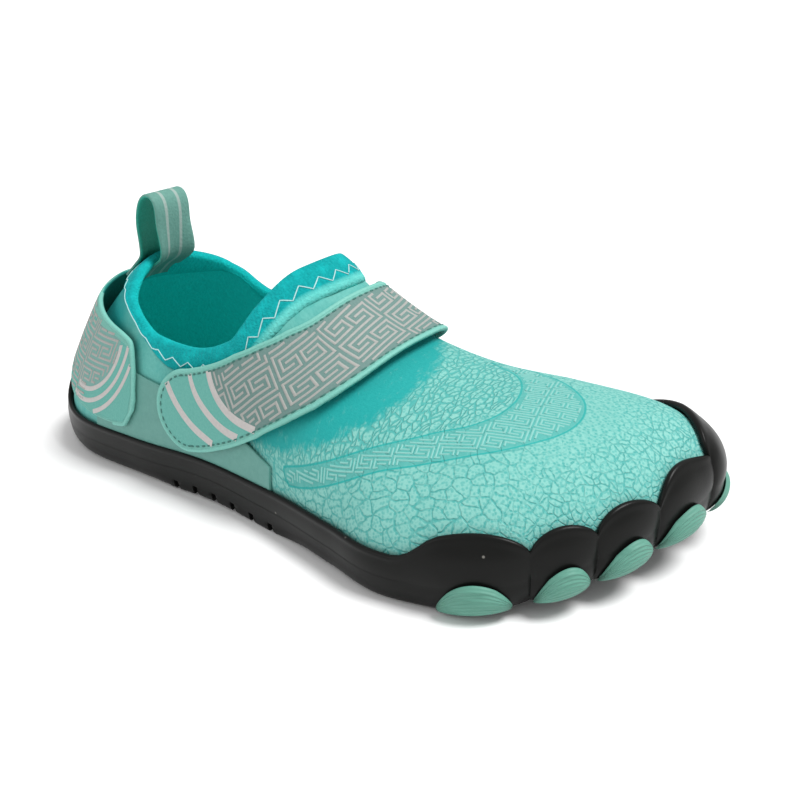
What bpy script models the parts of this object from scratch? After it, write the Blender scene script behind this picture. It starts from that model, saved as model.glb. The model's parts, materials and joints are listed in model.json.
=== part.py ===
"""A right water shoe: moulded sole with five toe lobes, stretch upper, collar, heel sling, pull loop and strap.

Metres, +Z up. +X runs from heel to toe, +Y to the medial side, and the shoe stands on z = 0.
Each piece is worked out from one skin: the outer surface of the upper over the last.
"""

import math
from collections import namedtuple

import bmesh
import bpy
import numpy as np

MM = 0.001

# Driving dimensions
LENGTH = 250 * MM  # heel to toe, over the rubber
BALL_WIDTH = 99 * MM  # over the rubber at the ball
INSTEP_HEIGHT = 80 * MM  # floor to the top of the collar's front tab
HEEL_HEIGHT = 70 * MM  # floor to the top of the collar at the back
SIDE_DIP_HEIGHT = 50 * MM  # floor to the collar's lowest point, beside the ankle
HEEL_LEAN = 41 * MM  # how far the heel's wall leans forward by the collar
SIDE_SWELL = 1.5 * MM  # how far the foot's sides swell over the edge of the footbed
SOLE_THICKNESS = 8 * MM  # tread to footbed
RUBBER_WALL = 2.6 * MM  # rubber beside the foot, low down
RUBBER_LIP = 1.5 * MM  # rubber at its top edge
WALL_HEIGHT = 14 * MM  # floor to the top edge of the rubber at the side
TOE_NOTCH_HEIGHT = 15 * MM  # floor to the creases between the toe lobes
TOE_LOBE_HEIGHT = 31 * MM  # floor to the top of the highest toe lobe
HEEL_CUP_HEIGHT = 30 * MM  # floor to the top of the rubber behind the heel
LOBE_BULGE = 1.8 * MM  # how far each lobe stands out between its creases
TREAD_INSET = 3.5 * MM  # the tread's edge lies this far inside the rubber's side
WAIST_INSET = 1.0 * MM  # the same at the waist, where the lugs reach the side
ARCH_LIFT = 0.9 * MM
TOE_SPRING = 12 * MM
HEEL_RISE = 3 * MM
GROOVE_WIDTH = 2.2 * MM  # flex grooves across the waist of the tread
GROOVE_DEPTH = 2.4 * MM
GROOVE_PITCH = 9.5 * MM
POD_BULGE = 1.9 * MM  # how far a toe pod stands out of the rubber
POD_EDGE = 0.5 * MM  # its thickness at its edges
POD_GAPS = 1.8  # clearance between pod and rubber, in gaps
UPPER_WALL = 1.8 * MM
COLLAR_WALL = 3.0 * MM
COLLAR_STEP = 0.6 * MM  # the collar stands this far outside the upper
COLLAR_DEPTH = 12 * MM  # width of the collar band
INSOLE_THICKNESS = 3 * MM
QUARTER_WALL = 0.8 * MM
SLING_WALL = 1.4 * MM
SLING_STANDOFF = 3.2 * MM  # how far the sling's top edge stands behind the heel
LOOP_WIDTH = 16 * MM
LOOP_HEIGHT = 22 * MM  # how far the pull loop rises above the collar
LOOP_DEPTH = 16 * MM
LOOP_LEAN = 4 * MM  # how far the loop's top leans forward
LOOP_WALL = 1.3 * MM
LOOP_TAIL = 9 * MM  # length of each end sewn to the collar
LOOP_BACK_GAPS = 1.7  # clearance behind the collar, in steps and gaps
LOOP_FRONT_GAPS = 5  # clearance inside it, in gaps
STRAP_WIDTH = 27 * MM
STRAP_WALL = 1.6 * MM
STRAP_LIFT = 1.6 * MM  # how far the strap bridges above the instep
STRAP_LIFT_SPREAD = 0.55  # how far round the section that bridge reaches
STRAP_GAPS = 2.2  # clearance between strap and quarter sheet, in gaps
GAP = 0.3 * MM  # clearance between pieces that touch

FEATHER_LENGTH = LENGTH - 2 * (RUBBER_WALL + GAP)
FEATHER_WIDTH = BALL_WIDTH - 2 * (RUBBER_WALL + GAP)
HEEL_X = -FEATHER_LENGTH / 2

# Plan of the foot where the upper meets the sole: x as a share of its length from the heel,
# y as a share of its width, lateral side negative.
PlanPoint = namedtuple("PlanPoint", "x y")
PLAN = (
    PlanPoint(0.000, 0.100),
    PlanPoint(0.035, -0.110),
    PlanPoint(0.115, -0.240),
    PlanPoint(0.240, -0.280),
    PlanPoint(0.390, -0.300),
    PlanPoint(0.530, -0.360),
    PlanPoint(0.640, -0.440),
    PlanPoint(0.730, -0.500),
    PlanPoint(0.845, -0.440),
    PlanPoint(0.920, -0.280),
    PlanPoint(0.966, -0.070),
    PlanPoint(0.988, 0.130),
    PlanPoint(0.997, 0.275),
    PlanPoint(0.962, 0.410),
    PlanPoint(0.870, 0.480),
    PlanPoint(0.720, 0.495),
    PlanPoint(0.560, 0.420),
    PlanPoint(0.400, 0.370),
    PlanPoint(0.240, 0.420),
    PlanPoint(0.110, 0.380),
    PlanPoint(0.030, 0.250),
)

# Sections of the last: x as a share of the foot's length, the crown's place across as a share of
# the foot's width, its height as a share of the instep height (behind the collar's front it is where
# the walls would meet if they closed), and how square the section is in width and in height.
Section = namedtuple("Section", "x ridge crown width_power height_power")
SECTIONS = (
    Section(0.00, 0.10, 1.300, 2.1, 2.0),
    Section(0.15, 0.10, 1.300, 2.1, 2.0),
    Section(0.30, 0.10, 1.270, 2.0, 1.9),
    Section(0.40, 0.10, 1.190, 2.0, 1.9),
    Section(0.48, 0.11, 1.000, 2.0, 1.9),
    Section(0.55, 0.12, 0.800, 2.0, 1.9),
    Section(0.64, 0.13, 0.640, 2.1, 1.9),
    Section(0.74, 0.13, 0.567, 2.3, 2.1),
    Section(0.86, 0.12, 0.550, 2.7, 2.5),
    Section(0.93, 0.11, 0.556, 2.7, 2.5),
    Section(1.00, 0.10, 0.560, 2.7, 2.5),
)

# Collar rim in side view: x as a share of the foot's length, and its height above the side dip as a
# share of the way to the heel's top and of the way to the front tab's top.
RimPoint = namedtuple("RimPoint", "x to_heel to_tab")
RIM = (
    RimPoint(0.000, 1.00, 0.00),
    RimPoint(0.180, 1.00, 0.00),
    RimPoint(0.210, 0.86, 0.00),
    RimPoint(0.250, 0.42, 0.00),
    RimPoint(0.295, 0.10, 0.00),
    RimPoint(0.370, 0.00, 0.02),
    RimPoint(0.430, 0.00, 0.17),
    RimPoint(0.462, 0.00, 0.55),
    RimPoint(0.488, 0.00, 0.84),
    RimPoint(0.530, 0.00, 0.97),
    RimPoint(0.600, 0.00, 1.00),
)

# Toe lobes: where each ends, as degrees round the toe from straight ahead (lateral negative), the
# place of its top as a share of the way across, its height as a share of the highest, and the
# height of the crease at its medial end as a share too.
Lobe = namedtuple("Lobe", "name start end peak height crease")
LOBES = (
    Lobe("little", -104, -65, 0.60, 0.45, 0.12),
    Lobe("fourth", -65, -44.5, 0.45, 0.40, 0.15),
    Lobe("middle", -44.5, -19, 0.42, 0.45, 0.17),
    Lobe("second", -19, 10, 0.50, 0.60, 0.48),
    Lobe("big", 10, 84, 0.35, 1.00, 0.00),
)

# Middle line of the strap: x as a share of the foot's length, and its place round the section, from
# -1 at the lateral edge of the footbed over 0 on the crown to 1 at the medial edge.
StrapPoint = namedtuple("StrapPoint", "x around")
STRAP = (
    StrapPoint(0.305, -0.850),
    StrapPoint(0.393, -0.815),
    StrapPoint(0.462, -0.730),
    StrapPoint(0.528, -0.560),
    StrapPoint(0.570, -0.370),
    StrapPoint(0.589, -0.160),
    StrapPoint(0.594, 0.050),
    StrapPoint(0.580, 0.260),
    StrapPoint(0.543, 0.460),
    StrapPoint(0.492, 0.650),
    StrapPoint(0.435, 0.830),
)

# Quarter sheet on each side: x as a share of the foot's length and the height of its top edge as a
# share of the side dip's height.
QuarterPoint = namedtuple("QuarterPoint", "x top")
QUARTER = (
    QuarterPoint(0.160, 0.80),
    QuarterPoint(0.260, 0.74),
    QuarterPoint(0.380, 0.66),
    QuarterPoint(0.470, 0.55),
    QuarterPoint(0.530, 0.43),
    QuarterPoint(0.560, 0.36),
)

# Heel sling: place round the heel from -1 at the lateral end to 1 at the medial end, and the heights
# of its two edges as shares of the heel's height.
SlingPoint = namedtuple("SlingPoint", "x bottom top")
SLING = (
    SlingPoint(-1.00, 0.360, 0.410),
    SlingPoint(-0.95, 0.275, 0.560),
    SlingPoint(-0.85, 0.265, 0.690),
    SlingPoint(-0.60, 0.300, 0.750),
    SlingPoint(-0.30, 0.410, 0.790),
    SlingPoint(0.00, 0.500, 0.810),
    SlingPoint(0.30, 0.410, 0.790),
    SlingPoint(0.60, 0.300, 0.750),
    SlingPoint(0.85, 0.265, 0.690),
    SlingPoint(0.95, 0.275, 0.560),
    SlingPoint(1.00, 0.360, 0.410),
)

FIRST_GROOVE = 0.33  # share of the foot's length
GROOVES = 6
SLING_END = 0.245  # share of the foot's length where the sling ends on either side
POD_MARGIN = 0.8  # degrees between a lobe's end and its pod
POD_LIMIT = 91  # no pod reaches further round the toe than this
POD_END = 0.13  # share of each lobe left free at its medial end
POD_HEIGHT = 1.25  # top of a pod as a share of the way from tread to footbed
POD_BASE = 0.04  # its lower edge, likewise
POD_TIP = 0.14  # height of its ends, as a share of its height
LOBE_FADE = 14  # degrees over which the outer lobes run out into the sides
HEEL_PIVOT = 0.15  # shares of the foot's length where the ribs begin to fan out
TOE_PIVOT = 0.80
STATION_PITCH = 10 * MM
HEEL_FAN_RIBS = 19
LOBE_RIB_PITCH = 4.0  # degrees between two ribs of a toe lobe
PLAN_SAMPLES = 24  # points on the plan curve between two rows of its table


def smoothstep(t):
    t = np.clip(t, 0.0, 1.0)
    return t * t * (3 - 2 * t)


def table_curve(table, column):
    """A smooth function of x through one column of a table: a monotone cubic."""
    xs = np.array([row.x for row in table], float)
    ys = np.array([getattr(row, column) for row in table], float)
    slope = np.diff(ys) / np.diff(xs)
    tangent = np.zeros(len(xs))
    tangent[0], tangent[-1] = slope[0], slope[-1]
    for i in range(1, len(xs) - 1):
        if slope[i - 1] * slope[i] > 0:
            tangent[i] = 2 * slope[i - 1] * slope[i] / (slope[i - 1] + slope[i])

    def at(x):
        x = np.clip(np.asarray(x, float), xs[0], xs[-1])
        i = np.clip(np.searchsorted(xs, x) - 1, 0, len(xs) - 2)
        step = xs[i + 1] - xs[i]
        t = (x - xs[i]) / step
        return (
            (2 * t**3 - 3 * t**2 + 1) * ys[i]
            + (t**3 - 2 * t**2 + t) * step * tangent[i]
            + (3 * t**2 - 2 * t**3) * ys[i + 1]
            + (t**3 - t**2) * step * tangent[i + 1]
        )

    return at


def spline(p0, p1, p2, p3, t):
    """A point between p1 and p2 of the Catmull-Rom curve through four knots."""
    bend = 2 * p0 - 5 * p1 + 4 * p2 - p3
    twist = 3 * p1 - p0 - 3 * p2 + p3
    return 0.5 * (2 * p1 + (p2 - p0) * t + bend * t**2 + twist * t**3)


def plan_curve():
    """The closed plan curve of the foot as dense points, through the points of PLAN."""
    knots = np.array([(HEEL_X + p.x * FEATHER_LENGTH, p.y * FEATHER_WIDTH) for p in PLAN])
    points = []
    for i in range(len(knots)):
        four = [knots[(i + k) % len(knots)] for k in (-1, 0, 1, 2)]
        points += [spline(*four, t) for t in np.arange(PLAN_SAMPLES) / PLAN_SAMPLES]
    return np.array(points)


RIDGE = table_curve(SECTIONS, "ridge")
CROWN = table_curve(SECTIONS, "crown")
QUARTER_TOP = table_curve(QUARTER, "top")
SLING_BOTTOM = table_curve(SLING, "bottom")
SLING_TOP = table_curve(SLING, "top")
WIDTH_POWER = table_curve(SECTIONS, "width_power")
HEIGHT_POWER = table_curve(SECTIONS, "height_power")
RIM_TO_HEEL = table_curve(RIM, "to_heel")
RIM_TO_TAB = table_curve(RIM, "to_tab")
PLAN_POINTS = plan_curve()


def share(x):
    """x in metres as a share of the foot's length from the heel."""
    return (np.asarray(x, float) - HEEL_X) / FEATHER_LENGTH


def at_share(s):
    return HEEL_X + s * FEATHER_LENGTH


def ridge_y(x):
    """The crown line in plan, which runs to the medial side of the middle."""
    return RIDGE(share(x)) * FEATHER_WIDTH


def crown_height(x):
    return CROWN(share(x)) * INSTEP_HEIGHT


def rim_height(x):
    """Height of the collar's rim above the floor, in side view."""
    s = share(x)
    return (
        SIDE_DIP_HEIGHT
        + (HEEL_HEIGHT - SIDE_DIP_HEIGHT) * RIM_TO_HEEL(s)
        + (INSTEP_HEIGHT - SIDE_DIP_HEIGHT) * RIM_TO_TAB(s)
    )


def seam_height(x):
    """Height of the seam between upper and collar: the rim, moved down and forward."""
    forward = 0.62 * COLLAR_DEPTH
    down = 0.80 * COLLAR_DEPTH
    return rim_height(np.asarray(x) - forward) - down


def tread_height(x):
    """The rocker of the tread: flat under heel and ball, lifted at the heel's back, arch and toe."""
    s = share(x)
    heel = HEEL_RISE * np.clip((0.07 - s) / 0.07, 0, None) ** 2
    arch = ARCH_LIFT * np.sin(np.pi * np.clip((s - 0.27) / 0.25, 0, 1)) ** 2
    toe = TOE_SPRING * np.clip((s - 0.74) / 0.26, 0, None) ** 2
    return heel + arch + toe


def floor_height(x):
    """Top of the rubber footbed."""
    return tread_height(x) + SOLE_THICKNESS


def make_rib(x, across, ahead=0.0):
    """A rib of the skin: its origin on the crown line, its plan direction, its reach to the plan
    curve and the plan curve's outward normal there."""
    origin = np.array([x, ridge_y(x)])
    direction = np.array([ahead, across])
    start = PLAN_POINTS - origin
    side = np.roll(PLAN_POINTS, -1, axis=0) - PLAN_POINTS
    cross = direction[0] * side[:, 1] - direction[1] * side[:, 0]
    cross = np.where(np.abs(cross) < 1e-12, 1e-12, cross)
    distance = (start[:, 0] * side[:, 1] - start[:, 1] * side[:, 0]) / cross
    along = (start[:, 0] * direction[1] - start[:, 1] * direction[0]) / cross
    hit = np.where((along >= 0) & (along <= 1) & (distance > 0), distance, np.inf).argmin()
    chord = PLAN_POINTS[(hit + 3) % len(PLAN_POINTS)] - PLAN_POINTS[hit - 2]
    normal = np.array([chord[1], -chord[0]]) / np.linalg.norm(chord)
    if normal @ direction < 0:
        normal = -normal
    return (*origin, *direction, distance[hit], *normal)


def ribs():
    """The ribs of the skin, once round the foot from the lateral ball over heel and medial side."""
    heel, toe = at_share(HEEL_PIVOT), at_share(TOE_PIVOT)
    even = np.linspace(heel, toe, round((toe - heel) / STATION_PITCH) + 1)
    fronts = [front_of(rim_height), front_of(seam_height)]
    near = [front - k * k * 0.5 * MM for front in fronts for k in range(3)]
    clear = [x for x in even if min(abs(x - n) for n in near) > 1.5 * MM]
    stations = sorted(clear + near)
    rows = [make_rib(x, -1.0) for x in stations[::-1]]
    turn = np.linspace(0, math.pi, HEEL_FAN_RIBS + 2)[1:-1]
    rows += [make_rib(heel, -math.cos(t), -math.sin(t)) for t in turn]
    rows += [make_rib(x, 1.0) for x in stations]
    rows += [make_rib(toe, math.sin(t), math.cos(t)) for t in np.radians(lobe_degrees()[::-1])]
    return np.array(rows)


def lobe_degrees():
    """Degrees round the toe of its fan of ribs, the first and last of each lobe beside the creases."""
    degrees = []
    for lobe in LOBES:
        low = max(lobe.start + POD_MARGIN, -90 + LOBE_RIB_PITCH)
        high = lobe.end - POD_MARGIN
        degrees += list(np.linspace(low, high, round((high - low) / LOBE_RIB_PITCH) + 1))
    return degrees


def front_of(height):
    """x where a side-view line, such as the rim, meets the crown of the foot."""
    low, high = at_share(0.35), at_share(0.60)
    for _ in range(60):
        middle = (low + high) / 2
        if height(middle) < crown_height(middle):
            low = middle
        else:
            high = middle
    return low


def side_bulge(height):
    """How far the foot swells over the edge of the footbed, at a height above it."""
    rise = np.clip(height / (0.05 * LENGTH), 0, None)
    return SIDE_SWELL * rise * np.exp(1 - rise)


def skin(rib, angle):
    """Points of the upper's outer surface. angle 0 is at the footbed and pi / 2 on the crown."""
    x0, y0, dx, dy, length = (rib[..., k] for k in range(5))
    s0 = share(x0)
    across = np.maximum(np.cos(angle), 0) ** (2 / WIDTH_POWER(s0))
    up = np.maximum(np.sin(angle), 0) ** (2 / HEIGHT_POWER(s0))
    edge_x = x0 + dx * length
    base = floor_height(edge_x) + GAP
    x = x0 + dx * length * across
    z = base + (crown_height(x) - base) * up
    bulge = side_bulge(z - base) * across
    climb = np.clip((z - base) / (HEEL_HEIGHT - SOLE_THICKNESS), 0, 1)
    behind = np.clip((at_share(0.5) - x) / (0.5 * FEATHER_LENGTH), 0, 1)
    lean = HEEL_LEAN * climb**1.5 * smoothstep(behind)
    return np.stack([x + dx * bulge + lean, y0 + dy * (length * across + bulge), z], -1)


def surface(x, around):
    """Points of the skin at a distance along the foot and a place round its section."""
    x, around = np.broadcast_arrays(x, around)
    side = np.where(around < 0, -1.0, 1.0)
    rib = np.array([make_rib(a, b) for a, b in zip(x.ravel(), side.ravel())])
    angle = (1 - np.abs(around)) * math.pi / 2
    return skin(rib.reshape(*x.shape, 7), angle)


def angle_at(rib, height):
    """The angle on each rib where the skin reaches height(x), or pi / 2 if it never does."""
    low, high = np.zeros(len(rib)), np.full(len(rib), math.pi / 2)
    for _ in range(40):
        middle = (low + high) / 2
        point = skin(rib, middle)
        under = point[:, 2] < height(point[:, 0])
        low, high = np.where(under, middle, low), np.where(under, high, middle)
    return np.where(high > math.pi / 2 - 1e-6, math.pi / 2, low)


def points_at_heights(rib, heights):
    """Points of the skin on each rib at each height of its row."""
    columns = [skin(rib, angle_at(rib, lambda x, z=heights[:, k]: z)) for k in range(heights.shape[1])]
    return np.stack(columns, 1)


def grid_normals(grid):
    """Outward normals of a grid of points [rib, row], closed round the ribs."""
    around = np.roll(grid, -1, axis=0) - np.roll(grid, 1, axis=0)
    up = np.gradient(grid, axis=1)
    normal = np.cross(up, around)
    size = np.linalg.norm(normal, axis=-1, keepdims=True)
    return normal / np.maximum(size, 1e-12)


def new_object(name, vertices, faces, material):
    """An object from points and faces, welded and facing outwards."""
    mesh = bpy.data.meshes.new(name)
    mesh.from_pydata([tuple(v) for v in vertices], [], faces)
    shape = bmesh.new()
    shape.from_mesh(mesh)
    bmesh.ops.remove_doubles(shape, verts=shape.verts, dist=2e-6)
    bmesh.ops.dissolve_degenerate(shape, dist=1e-6, edges=shape.edges)
    bmesh.ops.recalc_face_normals(shape, faces=shape.faces)
    shape.to_mesh(mesh)
    shape.free()
    obj = bpy.data.objects.new(name, mesh)
    bpy.context.scene.collection.objects.link(obj)
    mesh.materials.append(material)
    mesh.shade_smooth()
    mesh.set_sharp_from_angle(angle=math.radians(50))
    return obj


def grid_faces(columns, rows, closed):
    """Quads of a grid of points stored column by column."""
    faces = []
    for i in range(columns if closed else columns - 1):
        j = (i + 1) % columns
        for k in range(rows - 1):
            faces.append((i * rows + k, j * rows + k, j * rows + k + 1, i * rows + k + 1))
    return faces


def band_normals(grid):
    """Outward normals of an open grid of points [column, row] on the skin."""
    along = np.gradient(grid, axis=0)
    up = np.gradient(grid, axis=1)
    normal = np.cross(up, along)
    normal /= np.maximum(np.linalg.norm(normal, axis=-1, keepdims=True), 1e-12)
    middle = np.array([0.0, ridge_y(0.0), SIDE_DIP_HEIGHT / 2])
    facing = ((grid - middle) * normal).sum()
    return normal * np.sign(facing)


def sheet(name, grid, start, wall, material):
    """A closed sheet over the skin: its inner face stands off the grid by start, its wall outside."""
    normal = band_normals(grid)
    start = np.broadcast_to(start, grid.shape[:2])[..., None]
    inner = grid + normal * start
    outer = grid + normal * (start + wall)
    columns, rows = grid.shape[:2]
    ring = np.concatenate([inner, outer[:, ::-1]], 1)
    return tube(name, ring, material)


def tube(name, rings, material):
    """A solid skinned over rings of points, with flat ends."""
    count, size = rings.shape[:2]
    faces = []
    for i in range(count - 1):
        for k in range(size):
            j = (k + 1) % size
            faces.append((i * size + k, (i + 1) * size + k, (i + 1) * size + j, i * size + j))
    half = size // 2
    for i in (0, count - 1):
        for k in range(half - 1):
            a, b = i * size + k, i * size + size - 1 - k
            faces.append((a, a + 1, b - 1, b))
    return new_object(name, rings.reshape(-1, 3), faces, material)


def shell(name, grid, closed, wall, material, outward=0.0):
    """A hollow wall whose outer face is the grid, moved outward by the given amount."""
    columns, rows = grid.shape[:2]
    obj = new_object(name, grid.reshape(-1, 3), grid_faces(columns, rows, closed), material)
    face_outwards(obj)
    solid = obj.modifiers.new("wall", "SOLIDIFY")
    solid.thickness = wall + outward
    solid.offset = -1 + 2 * outward / (wall + outward)
    solid.use_even_offset = True
    solid.use_rim = True
    return obj


def face_outwards(obj):
    """Turns an open shell so that its faces look away from the inside of the foot."""
    mesh = obj.data
    inside = np.array([0.0, 0.0, SIDE_DIP_HEIGHT / 2])
    total = 0.0
    for face in mesh.polygons:
        total += np.dot(np.array(face.normal), np.array(face.center) - inside) * face.area
    if total < 0:
        mesh.flip_normals()


def material(name, colour, roughness, metallic=0.0):
    made = bpy.data.materials.new(name)
    made.use_nodes = True
    shader = made.node_tree.nodes["Principled BSDF"]
    shader.inputs["Base Color"].default_value = (*colour, 1.0)
    shader.inputs["Roughness"].default_value = roughness
    shader.inputs["Metallic"].default_value = metallic
    return made


def rib_edge(rib):
    """Where each rib meets the plan curve."""
    return rib[:, 0:2] + rib[:, 2:4] * rib[:, 4:5]


def rib_degrees(rib):
    """Degrees round the toe at which each rib meets the plan curve."""
    edge = rib_edge(rib)
    toe = at_share(TOE_PIVOT)
    return np.degrees(np.arctan2(edge[:, 1] - ridge_y(toe), edge[:, 0] - toe))


def lobe_shape(rib):
    """For each rib, how far it is up its lobe (0 in a crease, 1 at the middle), the height of the
    rubber there as a share of the highest lobe, and how far it is between the outer lobes."""
    degrees = rib_degrees(rib)
    arch, height = np.zeros(len(rib)), np.zeros(len(rib))
    crease = 0.0
    for lobe in LOBES:
        t = (degrees - lobe.start) / (lobe.end - lobe.start)
        inside = (t > 0) & (t < 1)
        even = np.clip(t, 0, 1) ** (math.log(0.5) / math.log(lobe.peak))
        up = (4 * even * (1 - even)) ** 0.7
        low = crease + (lobe.crease - crease) * t
        arch = np.where(inside, up, arch)
        height = np.where(inside, low + (lobe.height - low) * up, height)
        crease = lobe.crease
    between = smoothstep((degrees - LOBES[0].start) / LOBE_FADE)
    between *= smoothstep((LOBES[-1].end - degrees) / LOBE_FADE)
    return arch, height, between


def rubber_top(rib):
    """Height of the rubber's top edge for each rib, above the local tread."""
    arch, height, between = lobe_shape(rib)
    edge_x = rib_edge(rib)[:, 0]
    s = share(edge_x)
    cup = np.exp(-((np.degrees(np.arctan2(rib[:, 3], -rib[:, 2])) / 32) ** 2)) * (rib[:, 2] < 0)
    side = WALL_HEIGHT + (HEEL_CUP_HEIGHT - WALL_HEIGHT) * cup
    toe = TOE_NOTCH_HEIGHT + (TOE_LOBE_HEIGHT - TOE_NOTCH_HEIGHT) * height
    return side + (toe - side) * between + 0.55 * tread_height(edge_x)


def side_inset(rib, level):
    """How far the rubber's rounded side lies inside its widest, from tread (0) to footbed (1)."""
    s = share(rib_edge(rib)[:, 0])
    waist = smoothstep((s - 0.26) / 0.08) * smoothstep((0.60 - s) / 0.08)
    inset = TREAD_INSET + (WAIST_INSET - TREAD_INSET) * waist
    return inset * (1 - np.sqrt(1 - (1 - np.asarray(level, float)) ** 2))


def sole_ring(rib, outward, level):
    """Points beside the sole: so far outward from the plan curve, and up from tread to footbed."""
    edge = rib_edge(rib)
    plan = edge + rib[:, 5:7] * np.reshape(outward, (-1, 1))
    ground = tread_height(edge[:, 0])
    return np.column_stack([plan, ground + level * SOLE_THICKNESS])


def rubber_outside(rib, level):
    """Points on the rubber's side, from tread (0) to footbed (1)."""
    arch, _, between = lobe_shape(rib)
    out = RUBBER_WALL + GAP + LOBE_BULGE * (arch - 0.5) * between
    return sole_ring(rib, out - side_inset(rib, level), level)


def build_outsole(rib, rubber):
    """The rubber cup: footbed, wall that follows the upper, toe lobes and rounded tread edge."""
    end = angle_at_height(rib, rubber_top(rib))
    rows = 5
    angles = end[:, None] * np.linspace(0, 1, rows)[None, :]
    skin_grid = skin(rib[:, None, :], angles)
    normal = grid_normals(skin_grid)
    arch, _, between = lobe_shape(rib)
    bulge = LOBE_BULGE * (arch - 0.5) * between
    rise = np.linspace(0, 1, rows)[None, :, None]
    wall = RUBBER_WALL + (RUBBER_LIP - RUBBER_WALL) * rise + bulge[:, None, None] * (1 - 0.5 * rise)
    inner = skin_grid + normal * 1.2 * GAP
    outer = skin_grid + normal * (GAP + wall)
    inner[:, 0, 2] = floor_height(rib_edge(rib)[:, 0])

    def rings_to_spine(start, height, steps):
        made = []
        for t in steps:
            plan = rib[:, 0:2] + (start[:, :2] - rib[:, 0:2]) * t
            made.append(np.column_stack([plan, height(plan[:, 0])]))
        return made

    side = [rubber_outside(rib, level) for level in (1.0, 0.55, 0.18, 0.0)]
    columns = rings_to_spine(inner[:, 0], floor_height, (0.0, 0.25, 0.5, 0.75))
    columns += [inner[:, k] for k in range(rows)]
    columns += [outer[:, k] for k in range(rows - 1, 0, -1)] + side
    columns += rings_to_spine(side[-1], tread_height, (0.5, 0.0))
    grid = np.stack(columns, 1)
    faces = grid_faces(len(grid), grid.shape[1], True)
    sole = new_object("outsole", grid.reshape(-1, 3), faces, rubber)
    for k in range(GROOVES):
        cut_groove(sole, at_share(FIRST_GROOVE) + k * GROOVE_PITCH)
    return sole


def cut_groove(sole, x):
    """A flex groove straight across the tread."""
    size = (GROOVE_WIDTH, 2 * BALL_WIDTH, 2 * GROOVE_DEPTH)
    bpy.ops.mesh.primitive_cube_add(size=1, location=(x, 0, tread_height(x)))
    cutter = bpy.context.object
    cutter.name = "groove_cutter"
    cutter.scale = size
    bpy.ops.object.transform_apply(location=False, rotation=False, scale=True)
    cutter.hide_render = True
    cutter.display_type = "WIRE"
    groove = sole.modifiers.new("groove", "BOOLEAN")
    groove.operation = "DIFFERENCE"
    groove.object = cutter


def build_toe_pods(ribs, tint):
    """A soft pod under each toe lobe, wrapped round the edge of the tread."""
    front = ribs[rib_edge(ribs)[:, 0] > at_share(0.5)]
    degrees = rib_degrees(front)
    order = np.argsort(degrees)
    for number, lobe in enumerate(LOBES, 1):
        start = max(lobe.start, -POD_LIMIT)
        end = lobe.end - POD_END * (lobe.end - lobe.start)
        inside = (degrees > start + POD_MARGIN / 2) & (degrees < end)
        rib = front[order[inside[order]]]
        bow = pod_bow(np.linspace(-0.98, 0.98, len(rib)))
        rings = []
        for share_up in (0.0, 0.35, 0.7, 1.0):
            rings.append(pod_points(rib, pod_level(bow, share_up), POD_GAPS * GAP))
        for share_up in (1.0, 0.7, 0.35, 0.0):
            swell = POD_BULGE * bow * math.sin(math.pi * (0.25 + 0.6 * share_up))
            rings.append(pod_points(rib, pod_level(bow, share_up), POD_GAPS * GAP + POD_EDGE + swell))
        tube(f"toe_pod_{number}", np.stack(rings, 1), tint)


def pod_bow(place):
    """How full a pod is at a place along it, from -1 at its lateral end to 1 at its medial end."""
    return np.clip(1 - np.abs(place) ** 2.0, 0, 1) ** 0.8


def pod_level(bow, share_up):
    """How high a point of a pod lies, from tread (0) to footbed (1)."""
    return POD_BASE + share_up * POD_HEIGHT * (POD_TIP + (1 - POD_TIP) * bow)


def pod_points(rib, level, out):
    """Points just outside the rubber's side, one level for each rib."""
    arch, _, between = lobe_shape(rib)
    above = np.maximum(np.asarray(level) - 1, 0) * SOLE_THICKNESS
    side = RUBBER_WALL + GAP + LOBE_BULGE * (arch - 0.5) * between + side_bulge(above)
    return sole_ring(rib, side + out - side_inset(rib, np.minimum(level, 1)), level)


def build_insole(rib, foam):
    """A loose pad on the footbed, inside the upper."""
    margin = UPPER_WALL + 3 * GAP
    edge = rib_edge(rib) - rib[:, 5:7] * margin
    columns = []
    for lift, steps in ((1.5 * GAP, (0.0, 0.5, 1.0)), (INSOLE_THICKNESS, (1.0, 0.5, 0.0))):
        for t in steps:
            plan = rib[:, 0:2] + (edge - rib[:, 0:2]) * t
            columns.append(np.column_stack([plan, floor_height(plan[:, 0]) + lift]))
    grid = np.stack(columns, 1)
    return new_object("insole", grid.reshape(-1, 3), grid_faces(len(grid), grid.shape[1], True), foam)


def build_quarters(sheeting):
    """A thin smooth sheet over each quarter, from the rubber's edge up to under the strap."""
    for name, side in (("quarter_lateral", -1.0), ("quarter_medial", 1.0)):
        stations = np.linspace(at_share(QUARTER[0].x), at_share(QUARTER[-1].x), 13)
        rib = np.array([make_rib(x, side) for x in stations])
        low = rubber_top(rib) + 2 * GAP
        high = np.maximum(QUARTER_TOP(share(stations)) * SIDE_DIP_HEIGHT, low + 1 * MM)
        heights = low[:, None] + (high - low)[:, None] * np.linspace(0, 1, 5)[None, :]
        sheet(name, points_at_heights(rib, heights), GAP, QUARTER_WALL, sheeting)


def sling_rib(around):
    """The rib at a place round the heel, from the lateral end (-1) to the medial end (1)."""
    heel = at_share(HEEL_PIVOT)
    beside = at_share(SLING_END) - heel
    arc = math.pi / 2 * HEEL_PIVOT * FEATHER_LENGTH
    travel = abs(around) * (arc + beside)
    side = -1.0 if around < 0 else 1.0
    if travel > arc:
        return make_rib(heel + travel - arc, side)
    turn = travel / arc * math.pi / 2
    return make_rib(heel, side * math.sin(turn), -math.cos(turn))


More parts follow.
